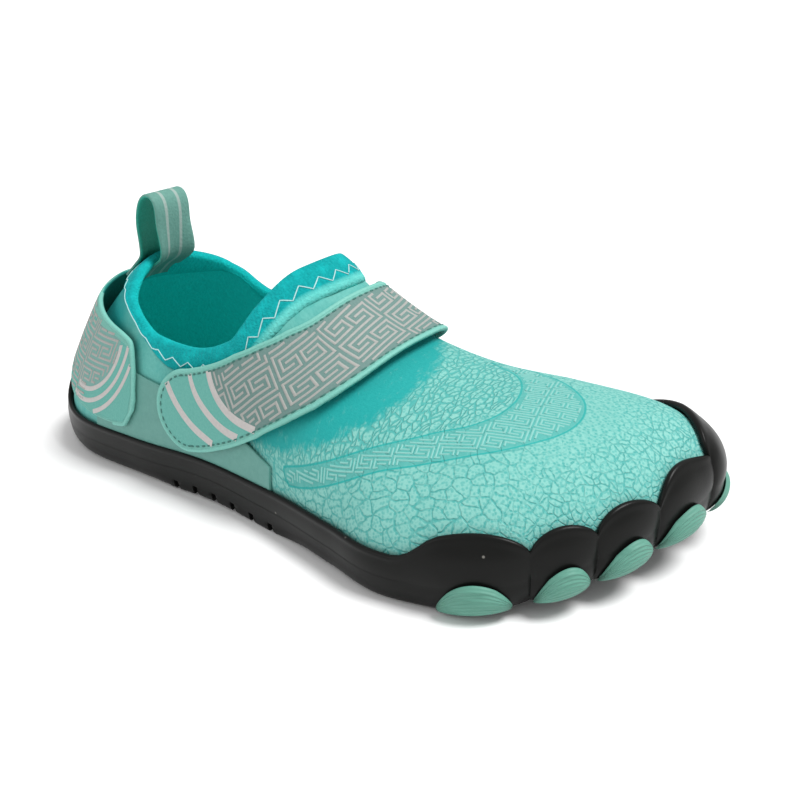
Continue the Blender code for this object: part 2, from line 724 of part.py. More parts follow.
def build_sling(webbing):
    """The heel sling: a wide band round the heel that stands off it along its top edge."""
    around = np.linspace(-1, 1, 27)
    rib = np.array([sling_rib(a) for a in around])
    low = np.maximum(SLING_BOTTOM(around) * HEEL_HEIGHT, rubber_top(rib) + 2 * GAP)
    high = np.maximum(SLING_TOP(around) * HEEL_HEIGHT, low + 1 * MM)
    up = np.linspace(0, 1, 6)
    heights = low[:, None] + (high - low)[:, None] * up[None, :]
    back = np.clip(1 - np.abs(around) / 0.9, 0, 1)[:, None]
    start = 2 * GAP + QUARTER_WALL + SLING_STANDOFF * smoothstep(back * 1.5) * up[None, :] ** 1.5
    sheet("heel_sling", points_at_heights(rib, heights), start, SLING_WALL, webbing)


def strap_curve(count):
    """The strap's middle line as rows of x and place round the section."""
    knots = np.array([(at_share(p.x), p.around) for p in STRAP])
    knots = np.vstack([2 * knots[0] - knots[1], knots, 2 * knots[-1] - knots[-2]])
    points = []
    for t in np.linspace(0, len(STRAP) - 1 - 1e-9, count):
        i = int(t)
        points.append(spline(*knots[i : i + 4], t - i))
    return np.array(points)


def build_strap(webbing):
    """The strap over the instep, from the medial sole edge to its rounded end on the lateral side."""
    middle = strap_curve(29)
    centre = surface(middle[:, 0], middle[:, 1])
    run = np.concatenate([[0], np.cumsum(np.linalg.norm(np.diff(centre, axis=0), axis=1))])
    half = STRAP_WIDTH / 2
    left = np.clip(1 - run / half, 0, 1)
    width = half * np.sqrt(np.clip(1 - left**2, 0.03, 1))
    step_x, step_around = 1 * MM, 0.01
    by_x = (surface(middle[:, 0] + step_x, middle[:, 1]) - centre) / step_x
    inward = np.where(middle[:, 1] < 0, 1.0, -1.0) * step_around
    by_around = (surface(middle[:, 0], middle[:, 1] + inward) - centre) / inward[:, None]
    tangent = np.gradient(middle, axis=0)
    along = by_x * tangent[:, :1] + by_around * tangent[:, 1:]
    across = np.stack([-(along * by_around).sum(1), (along * by_x).sum(1)], 1)
    length = np.linalg.norm(by_x * across[:, :1] + by_around * across[:, 1:], axis=1, keepdims=True)
    across /= length
    offsets = np.linspace(-1, 1, 7)
    grid = np.stack([surface(*(middle + across * (width * k)[:, None]).T) for k in offsets], 1)
    bridge = STRAP_LIFT * np.exp(-((middle[:, 1] / STRAP_LIFT_SPREAD) ** 2))[:, None]
    start = STRAP_GAPS * GAP + QUARTER_WALL + bridge
    sheet("strap", grid, start, STRAP_WALL, webbing)


def heel_profile(y, heights):
    """x of the skin behind the heel at each y, one row for each height."""
    rib = np.array([sling_rib(a) for a in np.linspace(-0.5, 0.5, 21)])
    points = points_at_heights(rib, np.tile(heights, (len(rib), 1)))
    return np.array([np.interp(y, points[:, k, 1], points[:, k, 0]) for k in range(len(heights))])


def heel_tilt(y, heights):
    """How far the heel leans from upright at each height, in radians."""
    steep = (heel_profile(y, heights + GAP) - heel_profile(y, heights)) / GAP
    return np.arctan(steep.max(axis=1))


def build_pull_loop(webbing):
    """The pull loop: a strip sewn outside the collar, over in a tall loop and down inside it."""
    middle_y = ridge_y(at_share(HEEL_PIVOT))
    y = middle_y + LOOP_WIDTH * np.linspace(-0.5, 0.5, 5)
    top = HEEL_HEIGHT
    for _ in range(6):
        top = float(rim_height(heel_profile(middle_y, np.array([top]))[0]))
    levels = top - LOOP_TAIL * np.array([1.0, 0.55, 0.12])
    wall = heel_profile(y, levels)
    tilt = heel_tilt(y, levels)
    back = wall - LOOP_BACK_GAPS * (COLLAR_STEP + GAP) / np.cos(tilt)[:, None]
    over = levels
    for _ in range(4):
        tilt = heel_tilt(y, over)
        over = levels + COLLAR_WALL * np.sin(tilt)
    clear = COLLAR_WALL * np.cos(tilt) + LOOP_FRONT_GAPS * GAP / np.cos(tilt)
    front = heel_profile(y, over) + clear[:, None]
    turn = np.linspace(0, math.pi, 13)[:, None]
    bow_z = top + (LOOP_HEIGHT - LOOP_WALL) * np.sin(turn) ** 0.8
    bend = (wall[-1] - wall[-1, 2])[None, :] * (1 - smoothstep((bow_z - top) / (0.6 * LOOP_HEIGHT)))
    middle_x = (back[-1, 2] + front[-1, 2]) / 2
    half = (front[-1, 2] - back[-1, 2]) / 2
    swell = (LOOP_DEPTH / 2 - LOOP_WALL - half) * np.sin(turn) ** 2
    lean = LOOP_LEAN * ((bow_z - top) / LOOP_HEIGHT)
    bow_x = middle_x + lean + bend - (half + swell) * np.cos(turn)
    x = np.vstack([back, bow_x, front[::-1]])
    z = np.vstack([np.tile(levels[:, None], 5), np.tile(bow_z, 5), np.tile(levels[::-1, None], 5)])
    inner = np.stack([x, np.tile(y, (len(x), 1)), z], -1)
    along, side = np.gradient(inner, axis=0), np.gradient(inner, axis=1)
    normal = np.cross(along, side)
    normal *= -np.sign(normal[0, 2, 0]) / np.linalg.norm(normal, axis=-1, keepdims=True)
    rings = np.concatenate([inner, (inner + normal * LOOP_WALL)[:, ::-1]], 1)
    tube("pull_loop", rings, webbing)


def angle_at_height(rib, height):
    """The angle on each rib where the skin reaches its own given height."""
    low, high = np.zeros(len(rib)), np.full(len(rib), math.pi / 2)
    for _ in range(40):
        middle = (low + high) / 2
        under = skin(rib, middle)[:, 2] < height
        low, high = np.where(under, middle, low), np.where(under, high, middle)
    return low


def build_upper(rib, cloth):
    end = angle_at(rib, seam_height)
    rows = 9
    angles = end[:, None] * np.linspace(0, 1, rows)[None, :]
    return shell("upper", skin(rib[:, None, :], angles), True, UPPER_WALL, cloth)


def build_collar(rib, knit):
    low = angle_at(rib, lambda x: seam_height(x) + 1.5 * GAP)
    high = angle_at(rib, rim_height)
    used = high - low > 1e-4
    first = np.argmax(used & ~np.roll(used, 1))
    count = used.sum()
    order = (first - 1 + np.arange(count + 2)) % len(rib)
    rows = 4
    t = np.linspace(0, 1, rows)[None, :]
    angles = low[order, None] * (1 - t) + high[order, None] * t
    grid = skin(rib[order][:, None, :], angles)
    return shell("collar", grid, False, COLLAR_WALL, knit, COLLAR_STEP)


def main():
    for obj in list(bpy.data.objects):
        bpy.data.objects.remove(obj)
    rubber = material("black_rubber", (0.012, 0.012, 0.013), 0.55)
    tint = material("mint_rubber", (0.11, 0.43, 0.30), 0.6)
    foam = material("insole_cloth", (0.01, 0.20, 0.18), 0.9)
    cloth = material("printed_stretch", (0.10, 0.62, 0.58), 0.75)
    knit = material("collar_knit", (0.01, 0.48, 0.47), 0.8)
    sheeting = material("quarter_sheet", (0.16, 0.50, 0.38), 0.6)
    webbing = material("woven_strap", (0.27, 0.42, 0.37), 0.7)
    rib = ribs()
    build_outsole(rib, rubber)
    build_toe_pods(rib, tint)
    build_insole(rib, foam)
    build_upper(rib, cloth)
    build_collar(rib, knit)
    build_quarters(sheeting)
    build_sling(webbing)
    build_strap(webbing)
    build_pull_loop(webbing)


main()
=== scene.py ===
"""The looks of the right water shoe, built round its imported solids.

Metres, +Z up. +X runs from heel to toe, +Y to the medial side, and the shoe stands on z = 0.
"""

import json
import math
from collections import namedtuple

import bmesh
import bpy
import numpy as np
from mathutils import Matrix, Vector

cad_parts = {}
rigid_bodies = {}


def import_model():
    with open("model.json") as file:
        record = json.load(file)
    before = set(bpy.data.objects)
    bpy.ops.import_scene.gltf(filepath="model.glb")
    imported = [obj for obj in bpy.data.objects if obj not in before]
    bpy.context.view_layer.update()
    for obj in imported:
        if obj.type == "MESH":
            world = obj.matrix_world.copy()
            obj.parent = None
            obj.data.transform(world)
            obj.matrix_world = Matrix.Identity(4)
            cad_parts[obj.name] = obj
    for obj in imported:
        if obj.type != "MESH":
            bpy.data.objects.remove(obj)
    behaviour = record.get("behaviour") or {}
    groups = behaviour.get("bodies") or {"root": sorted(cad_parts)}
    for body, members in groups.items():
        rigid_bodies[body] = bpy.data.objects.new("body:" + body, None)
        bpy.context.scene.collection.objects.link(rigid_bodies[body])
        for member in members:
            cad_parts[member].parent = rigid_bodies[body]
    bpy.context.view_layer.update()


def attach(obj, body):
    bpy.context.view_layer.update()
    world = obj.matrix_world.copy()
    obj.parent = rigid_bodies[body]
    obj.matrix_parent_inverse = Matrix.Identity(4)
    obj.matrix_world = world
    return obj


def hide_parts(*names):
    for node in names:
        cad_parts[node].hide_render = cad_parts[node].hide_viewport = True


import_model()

MM = 0.001

# Driving dimensions
LENGTH = 250 * MM  # heel to toe, over the rubber
BALL_WIDTH = 99 * MM  # over the rubber at the ball
INSTEP_HEIGHT = 80 * MM  # floor to the top of the collar's front tab
HEEL_HEIGHT = 70 * MM  # floor to the top of the collar at the back
SIDE_DIP_HEIGHT = 50 * MM  # floor to the collar's lowest point, beside the ankle
HEEL_LEAN = 41 * MM  # how far the heel's wall leans forward by the collar
SIDE_SWELL = 1.5 * MM  # how far the foot's sides swell over the edge of the footbed
SOLE_THICKNESS = 8 * MM  # tread to footbed
RUBBER_WALL = 2.6 * MM  # rubber beside the foot, low down
RUBBER_LIP = 1.5 * MM  # rubber at its top edge
WALL_HEIGHT = 14 * MM  # floor to the top edge of the rubber at the side
TOE_NOTCH_HEIGHT = 15 * MM  # floor to the creases between the toe lobes
TOE_LOBE_HEIGHT = 31 * MM  # floor to the top of the highest toe lobe
HEEL_CUP_HEIGHT = 30 * MM  # floor to the top of the rubber behind the heel
LOBE_BULGE = 1.8 * MM  # how far each lobe stands out between its creases
TREAD_INSET = 3.5 * MM  # the tread's edge lies this far inside the rubber's side
WAIST_INSET = 1.0 * MM  # the same at the waist, where the lugs reach the side
ARCH_LIFT = 0.9 * MM
TOE_SPRING = 12 * MM
HEEL_RISE = 3 * MM
GROOVE_WIDTH = 2.2 * MM  # flex grooves across the waist of the tread
GROOVE_DEPTH = 2.4 * MM
GROOVE_PITCH = 9.5 * MM
POD_BULGE = 1.9 * MM  # how far a toe pod stands out of the rubber
POD_EDGE = 0.5 * MM  # its thickness at its edges
POD_GAPS = 1.8  # clearance between pod and rubber, in gaps
UPPER_WALL = 1.8 * MM
COLLAR_WALL = 3.0 * MM
COLLAR_STEP = 0.6 * MM  # the collar stands this far outside the upper
COLLAR_DEPTH = 12 * MM  # width of the collar band
INSOLE_THICKNESS = 3 * MM
QUARTER_WALL = 0.8 * MM
SLING_WALL = 1.4 * MM
SLING_STANDOFF = 3.2 * MM  # how far the sling's top edge stands behind the heel
LOOP_WIDTH = 16 * MM
LOOP_HEIGHT = 22 * MM  # how far the pull loop rises above the collar
LOOP_DEPTH = 16 * MM
LOOP_LEAN = 4 * MM  # how far the loop's top leans forward
LOOP_WALL = 1.3 * MM
LOOP_TAIL = 9 * MM  # length of each end sewn to the collar
LOOP_BACK_GAPS = 1.7  # clearance behind the collar, in steps and gaps
LOOP_FRONT_GAPS = 5  # clearance inside it, in gaps
STRAP_WIDTH = 27 * MM
STRAP_WALL = 1.6 * MM
STRAP_LIFT = 1.6 * MM  # how far the strap bridges above the instep
STRAP_LIFT_SPREAD = 0.55  # how far round the section that bridge reaches
STRAP_GAPS = 2.2  # clearance between strap and quarter sheet, in gaps
GAP = 0.3 * MM  # clearance between pieces that touch

FEATHER_LENGTH = LENGTH - 2 * (RUBBER_WALL + GAP)
FEATHER_WIDTH = BALL_WIDTH - 2 * (RUBBER_WALL + GAP)
HEEL_X = -FEATHER_LENGTH / 2

# Plan of the foot where the upper meets the sole: x as a share of its length from the heel,
# y as a share of its width, lateral side negative.
PlanPoint = namedtuple("PlanPoint", "x y")
PLAN = [PlanPoint(*row) for row in (
    (0.000, 0.100), (0.035, -0.110), (0.115, -0.240), (0.240, -0.280), (0.390, -0.300),
    (0.530, -0.360), (0.640, -0.440), (0.730, -0.500), (0.845, -0.440), (0.920, -0.280),
    (0.966, -0.070), (0.988, 0.130), (0.997, 0.275), (0.962, 0.410), (0.870, 0.480), (0.720, 0.495),
    (0.560, 0.420), (0.400, 0.370), (0.240, 0.420), (0.110, 0.380), (0.030, 0.250),
)]

# Sections of the last: x as a share of the foot's length, the crown's place across as a share of
# the foot's width, its height as a share of the instep height (behind the collar's front it is where
# the walls would meet if they closed), and how square the section is in width and in height.
Section = namedtuple("Section", "x ridge crown width_power height_power")
SECTIONS = [Section(*row) for row in (
    (0.00, 0.10, 1.300, 2.1, 2.0), (0.15, 0.10, 1.300, 2.1, 2.0), (0.30, 0.10, 1.270, 2.0, 1.9),
    (0.40, 0.10, 1.190, 2.0, 1.9), (0.48, 0.11, 1.000, 2.0, 1.9), (0.55, 0.12, 0.800, 2.0, 1.9),
    (0.64, 0.13, 0.640, 2.1, 1.9), (0.74, 0.13, 0.567, 2.3, 2.1), (0.86, 0.12, 0.550, 2.7, 2.5),
    (0.93, 0.11, 0.556, 2.7, 2.5), (1.00, 0.10, 0.560, 2.7, 2.5),
)]

# Collar rim in side view: x as a share of the foot's length, and its height above the side dip as a
# share of the way to the heel's top and of the way to the front tab's top.
RimPoint = namedtuple("RimPoint", "x to_heel to_tab")
RIM = [RimPoint(*row) for row in (
    (0.000, 1.00, 0.00), (0.180, 1.00, 0.00), (0.210, 0.86, 0.00), (0.250, 0.42, 0.00),
    (0.295, 0.10, 0.00), (0.370, 0.00, 0.02), (0.430, 0.00, 0.17), (0.462, 0.00, 0.55),
    (0.488, 0.00, 0.84), (0.530, 0.00, 0.97), (0.600, 0.00, 1.00),
)]

# Toe lobes: where each ends, as degrees round the toe from straight ahead (lateral negative), the
# place of its top as a share of the way across, its height as a share of the highest, and the
# height of the crease at its medial end as a share too.
Lobe = namedtuple("Lobe", "name start end peak height crease")
LOBES = [Lobe(*row) for row in (
    ("little", -104, -65, 0.60, 0.45, 0.12), ("fourth", -65, -44.5, 0.45, 0.40, 0.15),
    ("middle", -44.5, -19, 0.42, 0.45, 0.17), ("second", -19, 10, 0.50, 0.60, 0.48),
    ("big", 10, 84, 0.35, 1.00, 0.00),
)]

# Middle line of the strap: x as a share of the foot's length, and its place round the section, from
# -1 at the lateral edge of the footbed over 0 on the crown to 1 at the medial edge.
StrapPoint = namedtuple("StrapPoint", "x around")
STRAP = [StrapPoint(*row) for row in (
    (0.305, -0.850), (0.393, -0.815), (0.462, -0.730), (0.528, -0.560), (0.570, -0.370),
    (0.589, -0.160), (0.594, 0.050), (0.580, 0.260), (0.543, 0.460), (0.492, 0.650), (0.435, 0.830),
)]

# Quarter sheet on each side: x as a share of the foot's length and the height of its top edge as a
# share of the side dip's height.
QuarterPoint = namedtuple("QuarterPoint", "x top")
QUARTER = [QuarterPoint(*row) for row in (
    (0.160, 0.80), (0.260, 0.74), (0.380, 0.66), (0.470, 0.55), (0.530, 0.43), (0.560, 0.36),
)]

# Heel sling: place round the heel from -1 at the lateral end to 1 at the medial end, and the heights
# of its two edges as shares of the heel's height.
SlingPoint = namedtuple("SlingPoint", "x bottom top")
SLING = [SlingPoint(*row) for row in (
    (-1.00, 0.360, 0.410), (-0.95, 0.275, 0.560), (-0.85, 0.265, 0.690), (-0.60, 0.300, 0.750),
    (-0.30, 0.410, 0.790), (0.00, 0.500, 0.810), (0.30, 0.410, 0.790), (0.60, 0.300, 0.750),
    (0.85, 0.265, 0.690), (0.95, 0.275, 0.560), (1.00, 0.360, 0.410),
)]

FIRST_GROOVE = 0.33  # share of the foot's length
GROOVES = 6
SLING_END = 0.245  # share of the foot's length where the sling ends on either side
POD_MARGIN = 0.8  # degrees between a lobe's end and its pod
POD_LIMIT = 91  # no pod reaches further round the toe than this
POD_END = 0.13  # share of each lobe left free at its medial end
POD_HEIGHT = 1.25  # top of a pod as a share of the way from tread to footbed
POD_BASE = 0.04  # its lower edge, likewise
POD_TIP = 0.14  # height of its ends, as a share of its height
LOBE_FADE = 14  # degrees over which the outer lobes run out into the sides
HEEL_PIVOT = 0.15  # shares of the foot's length where the ribs begin to fan out
TOE_PIVOT = 0.80
PLAN_SAMPLES = 96  # points on the plan curve between two rows of its table

HEEL_CUP_SPREAD = 32  # degrees round the heel over which the rubber climbs into its cup
LOBE_ROUNDNESS = 0.7  # below 1, a lobe's top is flatter and its flanks are steeper
TREAD_FOLLOW = 0.55  # share of the tread's lift that the rubber's top edge follows

# Dressing
SKIN_GAPS = 1.2  # clearance between the foot and the rubber's inside, in gaps
CREASE_HALF = 0.12  # degrees from a crease between two lobes to the nearest rib
LIP_BEAD = 0.35 * MM  # how far the rubber's top edge is beaded
CROWN_SOFTENING = 4.0  # columns of the collar's grid over which its peak is rounded
ZIGZAG_PERIOD = 6.0 * MM
ZIGZAG_PLACE = 0.52  # middle of the zigzag, from the collar's rim (0) to its seam (1)
ZIGZAG_SWING = 0.14  # how far its teeth reach up and down from there
LOOP_TUCK = 3.8 * MM  # how far the loop's inner tail reaches into the collar
FRET_PITCH = 1.85 * MM
GROOVE_EXTRA = 0.9 * MM  # how much deeper than the solid the sole's cross grooves are
FRET_LINE = 0.84 * MM
STRAP_FRET_TILT = 0.20  # radians from the strap's middle line
PRINT_LIFT = 0.09 * MM  # how far the fret stands out of the webbing
STRIPE_WIDTH = 2.5 * MM
STRIPE_LIFT = 0.08 * MM
SLING_STRIPE_WIDTH = 1.7 * MM
LINE_STEP = 1.9 * MM  # longest straight stretch of a printed line on a curved face
SEAM_INSET = 2.1 * MM  # the strap's line of stitches lies this far inside its edge
HEM_INSET = 0.75 * MM  # the middle of its bound edge, likewise
STITCH_SHARE = 0.62  # length of a stitch as a share of their pitch
QUARTER_TRIM = 8 * MM  # the quarter's face stops this far short of the solid's thin front tip
STRIPE_BOW = 5.0  # how far a stripe bends towards the strap's rounded end, in mm
STITCH_PITCH = 2.5 * MM
KNIT_PITCH = 1.3 * MM
UNPRINTED_SHADE_FADE = 11 * MM  # width over which the print runs out, towards the strap, into unprinted cloth darkened as a painted shadow of the strap
INNER_FADE = 6 * MM  # width over which the fine print inside the crescent begins
TOE_PRINT_START = 78 * MM  # where the print's cells begin to grow smaller towards the toe
TOE_PRINT_FADE = 25 * MM
VAMP_PITCH = 1.22 * MM
VAMP_LINE = 0.66 * MM
VAMP_FRET_TILT = 0.25

FLOOR_SIZE = 60.0  # half the floor's side
FLOOR_DROP = -0.05 * MM  # the floor lies this far below the tread
SKY_LIGHT = 0.62
KEY_POWER = 3.2
KEY_SPREAD = 26  # degrees across the key light, which softens its shadows
FILL_POWER = 18.0

CAMERA_LENS = 47.56  # mm, on a sensor 36 mm wide
CAMERA_AZIMUTH = 35.703  # degrees from the lateral side towards the toe
CAMERA_ELEVATION = 22.246
CAMERA_ROLL = -2.797
CAMERA_PLACE = (0.20735, -0.24482, 0.15983)

# The crescent printed on the vamp, in mm on the unrolled skin, from its lateral tail round to the
# medial side.
CrescentRow = namedtuple("CrescentRow", "outer_x outer_y inner_x inner_y")
CRESCENT = [CrescentRow(*row) for row in (
    (14, -58, 12, -54), (45, -41, 36, -38), (60, -34, 52, -28), (73, -27, 60, -22),
    (82, -20, 67, -17), (90, -9.5, 71.5, -10), (92, 0, 72.5, -2), (89, 9, 71, 5),
    (82, 16, 67.5, 12), (72, 22, 62, 17), (58, 26, 52, 21),
)]

# The strap's stripes: how far from its rounded end they are at its upper and its lower edge, in mm.
Stripe = namedtuple("Stripe", "upper lower")
STRIPES = (Stripe(5, 28), Stripe(18, 39), Stripe(28, 46))

# Where the unprinted cloth under the strap ends, which is darkened as a painted shadow of the strap, and
# where the fine
# print inside the crescent ends: places across and along the unrolled skin, in mm.
UNPRINTED_SHADE_EDGE = np.array([
    (-62, -4), (-55, 4), (-47, 16), (-36, 30), (-26, 40), (-14, 45), (-2, 45), (10, 42), (22, 34),
    (40, 20), (60, 5),
])
INNER_EDGE = np.array([
    (-60, 0), (-52, 14), (-38, 38), (-28, 52), (-17, 66), (-2, 73), (12, 68), (22, 56), (40, 52),
    (60, 50),
])

SlingArc = namedtuple("SlingArc", "run height radius")
SLING_ARC = SlingArc(52 * MM, 42 * MM, 14 * MM)  # centre and radius of the sling's first stripe
SLING_STRIPE_PITCH = 4.3 * MM

# The two lines of one tile of the key pattern, in lattice steps.
KEY_LINES = (
    ((3, 2), (1, 2), (1, 4), (5, 4), (5, 0), (-3, 0), (-3, -2), (-1, -2)),
    ((-2, -1), (0, -1), (0, -3), (-4, -3), (-4, 1), (4, 1), (4, 3), (2, 3)),
)


def smoothstep(t):
    t = np.clip(t, 0.0, 1.0)
    return t * t * (3 - 2 * t)


def table_curve(table, column):
    """A smooth function of x through one column of a table: a monotone cubic."""
    xs = np.array([row.x for row in table], float)
    ys = np.array([getattr(row, column) for row in table], float)
    slope = np.diff(ys) / np.diff(xs)
    tangent = np.zeros(len(xs))
    tangent[0], tangent[-1] = slope[0], slope[-1]
    for i in range(1, len(xs) - 1):
        if slope[i - 1] * slope[i] > 0:
            tangent[i] = 2 * slope[i - 1] * slope[i] / (slope[i - 1] + slope[i])

    def at(x):
        x = np.clip(np.asarray(x, float), xs[0], xs[-1])
        i = np.clip(np.searchsorted(xs, x) - 1, 0, len(xs) - 2)
        step = xs[i + 1] - xs[i]
        t = (x - xs[i]) / step
        return (
            (2 * t**3 - 3 * t**2 + 1) * ys[i]
            + (t**3 - 2 * t**2 + t) * step * tangent[i]
            + (3 * t**2 - 2 * t**3) * ys[i + 1]
            + (t**3 - t**2) * step * tangent[i + 1]
        )

    return at


def spline(p0, p1, p2, p3, t):
    """A point between p1 and p2 of the Catmull-Rom curve through four knots."""
    bend = 2 * p0 - 5 * p1 + 4 * p2 - p3
    twist = 3 * p1 - p0 - 3 * p2 + p3
    return 0.5 * (2 * p1 + (p2 - p0) * t + bend * t**2 + twist * t**3)


def open_curve(knots, count):
    """Points of a smooth curve from the first knot to the last."""
    knots = np.vstack([2 * knots[0] - knots[1], knots, 2 * knots[-1] - knots[-2]])
    points = []
    for t in np.linspace(0, len(knots) - 3 - 1e-9, count):
        i = int(t)
        points.append(spline(*knots[i : i + 4], t - i))
    return np.array(points)


def plan_curve():
    """The closed plan curve of the foot as dense points, through the points of PLAN."""
    knots = np.array([(HEEL_X + p.x * FEATHER_LENGTH, p.y * FEATHER_WIDTH) for p in PLAN])
    points = []
    for i in range(len(knots)):
        four = [knots[(i + k) % len(knots)] for k in (-1, 0, 1, 2)]
        points += [spline(*four, t) for t in np.arange(PLAN_SAMPLES) / PLAN_SAMPLES]
    return np.array(points)


RIDGE = table_curve(SECTIONS, "ridge")
CROWN = table_curve(SECTIONS, "crown")
QUARTER_TOP = table_curve(QUARTER, "top")
SLING_BOTTOM = table_curve(SLING, "bottom")
SLING_TOP = table_curve(SLING, "top")
WIDTH_POWER = table_curve(SECTIONS, "width_power")
HEIGHT_POWER = table_curve(SECTIONS, "height_power")
RIM_TO_HEEL = table_curve(RIM, "to_heel")
RIM_TO_TAB = table_curve(RIM, "to_tab")
PLAN_POINTS = plan_curve()

HEEL_ARC = math.pi / 2 * HEEL_PIVOT * FEATHER_LENGTH  # a quarter turn of the heel's fan of ribs
SLING_REACH = HEEL_ARC + (SLING_END - HEEL_PIVOT) * FEATHER_LENGTH  # heel's back to sling's end


def share(x):
    """x in metres as a share of the foot's length from the heel."""
    return (np.asarray(x, float) - HEEL_X) / FEATHER_LENGTH


def at_share(s):
    """x in metres at a share of the foot's length from the heel."""
    return HEEL_X + s * FEATHER_LENGTH


def ridge_y(x):
    """The crown line in plan, which runs to the medial side of the middle."""
    return RIDGE(share(x)) * FEATHER_WIDTH


def crown_height(x):
    """Height of the crown line above the floor."""
    return CROWN(share(x)) * INSTEP_HEIGHT


def rim_height(x):
    """Height of the collar's rim above the floor, in side view."""
    s = share(x)
    return (
        SIDE_DIP_HEIGHT
        + (HEEL_HEIGHT - SIDE_DIP_HEIGHT) * RIM_TO_HEEL(s)
        + (INSTEP_HEIGHT - SIDE_DIP_HEIGHT) * RIM_TO_TAB(s)
    )


def seam_height(x):
    """Height of the seam between upper and collar: the rim, moved down and forward."""
    forward = 0.62 * COLLAR_DEPTH
    down = 0.80 * COLLAR_DEPTH
    return rim_height(np.asarray(x) - forward) - down


def tread_height(x):
    """The rocker of the tread: flat under heel and ball, lifted at the heel's back, arch and toe."""
    s = share(x)
    heel = HEEL_RISE * np.clip((0.07 - s) / 0.07, 0, None) ** 2
    arch = ARCH_LIFT * np.sin(np.pi * np.clip((s - 0.27) / 0.25, 0, 1)) ** 2
    toe = TOE_SPRING * np.clip((s - 0.74) / 0.26, 0, None) ** 2
    return heel + arch + toe


def floor_height(x):
    """Top of the rubber footbed."""
    return tread_height(x) + SOLE_THICKNESS


def make_rib(x, across, ahead=0.0):
    """A rib of the skin: its origin on the crown line, its plan direction, its reach to the plan
    curve and the plan curve's outward normal there."""
    origin = np.array([x, ridge_y(x)])
    direction = np.array([ahead, across])
    start = PLAN_POINTS - origin
    side = np.roll(PLAN_POINTS, -1, axis=0) - PLAN_POINTS
    cross = direction[0] * side[:, 1] - direction[1] * side[:, 0]
    cross = np.where(np.abs(cross) < 1e-12, 1e-12, cross)
    distance = (start[:, 0] * side[:, 1] - start[:, 1] * side[:, 0]) / cross
    along = (start[:, 0] * direction[1] - start[:, 1] * direction[0]) / cross
    hit = np.where((along >= 0) & (along <= 1) & (distance > 0), distance, np.inf).argmin()
    reach = PLAN_SAMPLES // 8
    chord = PLAN_POINTS[(hit + reach) % len(PLAN_POINTS)] - PLAN_POINTS[hit + 1 - reach]
    normal = np.array([chord[1], -chord[0]]) / np.linalg.norm(chord)
    if normal @ direction < 0:
        normal = -normal
    return (*origin, *direction, distance[hit], *normal)


def front_of(height):
    """x where a side-view line, such as the rim, meets the crown of the foot."""
    low, high = at_share(0.35), at_share(0.60)
    for _ in range(60):
        middle = (low + high) / 2
        if height(middle) < crown_height(middle):
            low = middle
        else:
            high = middle
    return low


def side_bulge(height):
    """How far the foot swells over the edge of the footbed, at a height above it."""
    rise = np.clip(height / (0.05 * LENGTH), 0, None)
    return SIDE_SWELL * rise * np.exp(1 - rise)


def skin(rib, angle):
    """Points of the upper's outer surface. angle 0 is at the footbed and pi / 2 on the crown."""
    x0, y0, dx, dy, length = (rib[..., k] for k in range(5))
    s0 = share(x0)
    across = np.maximum(np.cos(angle), 0) ** (2 / WIDTH_POWER(s0))
    up = np.maximum(np.sin(angle), 0) ** (2 / HEIGHT_POWER(s0))
    edge_x = x0 + dx * length
    base = floor_height(edge_x) + GAP
    x = x0 + dx * length * across
    z = base + (crown_height(x) - base) * up
    bulge = side_bulge(z - base) * across
    climb = np.clip((z - base) / (HEEL_HEIGHT - SOLE_THICKNESS), 0, 1)
    behind = np.clip((at_share(0.5) - x) / (0.5 * FEATHER_LENGTH), 0, 1)
    lean = HEEL_LEAN * climb**1.5 * smoothstep(behind)
    return np.stack([x + dx * bulge + lean, y0 + dy * (length * across + bulge), z], -1)


def surface(x, around):
    """Points of the skin at a distance along the foot and a place round its section."""
    x, around = np.broadcast_arrays(x, around)
    side = np.where(around < 0, -1.0, 1.0)
    rib = np.array([make_rib(a, b) for a, b in zip(x.ravel(), side.ravel())])
    angle = (1 - np.abs(around)) * math.pi / 2
    return skin(rib.reshape(*x.shape, 7), angle)


def angle_at(rib, height):
    """The angle on each rib where the skin reaches height(x), or pi / 2 if it never does."""
    low, high = np.zeros(len(rib)), np.full(len(rib), math.pi / 2)
    for _ in range(40):
        middle = (low + high) / 2
        point = skin(rib, middle)
        under = point[:, 2] < height(point[:, 0])
        low, high = np.where(under, middle, low), np.where(under, high, middle)
    return np.where(high > math.pi / 2 - 1e-6, math.pi / 2, low)


def points_at_heights(rib, heights):
    """Points of the skin on each rib at each height of its row."""
    columns = [skin(rib, angle_at(rib, lambda x, z=heights[:, k]: z)) for k in range(heights.shape[1])]
    return np.stack(columns, 1)


def rib_edge(rib):
    """Where each rib meets the plan curve."""
    return rib[:, 0:2] + rib[:, 2:4] * rib[:, 4:5]


def rib_degrees(rib):
    """Degrees round the toe at which each rib meets the plan curve."""
    edge = rib_edge(rib)
    toe = at_share(TOE_PIVOT)
    return np.degrees(np.arctan2(edge[:, 1] - ridge_y(toe), edge[:, 0] - toe))


def lobe_shape(rib):
    """For each rib, how far it is up its lobe (0 in a crease, 1 at the middle), the height of the
    rubber there as a share of the highest lobe, and how far it is between the outer lobes."""
    degrees = rib_degrees(rib)
    arch, height = np.zeros(len(rib)), np.zeros(len(rib))
    crease = 0.0
    for lobe in LOBES:
        t = (degrees - lobe.start) / (lobe.end - lobe.start)
        inside = (t > 0) & (t < 1)
        even = np.clip(t, 0, 1) ** (math.log(0.5) / math.log(lobe.peak))
        up = (4 * even * (1 - even)) ** LOBE_ROUNDNESS
        low = crease + (lobe.crease - crease) * t
        arch = np.where(inside, up, arch)
        height = np.where(inside, low + (lobe.height - low) * up, height)
        crease = lobe.crease
    between = smoothstep((degrees - LOBES[0].start) / LOBE_FADE)
    between *= smoothstep((LOBES[-1].end - degrees) / LOBE_FADE)
    return arch, height, between


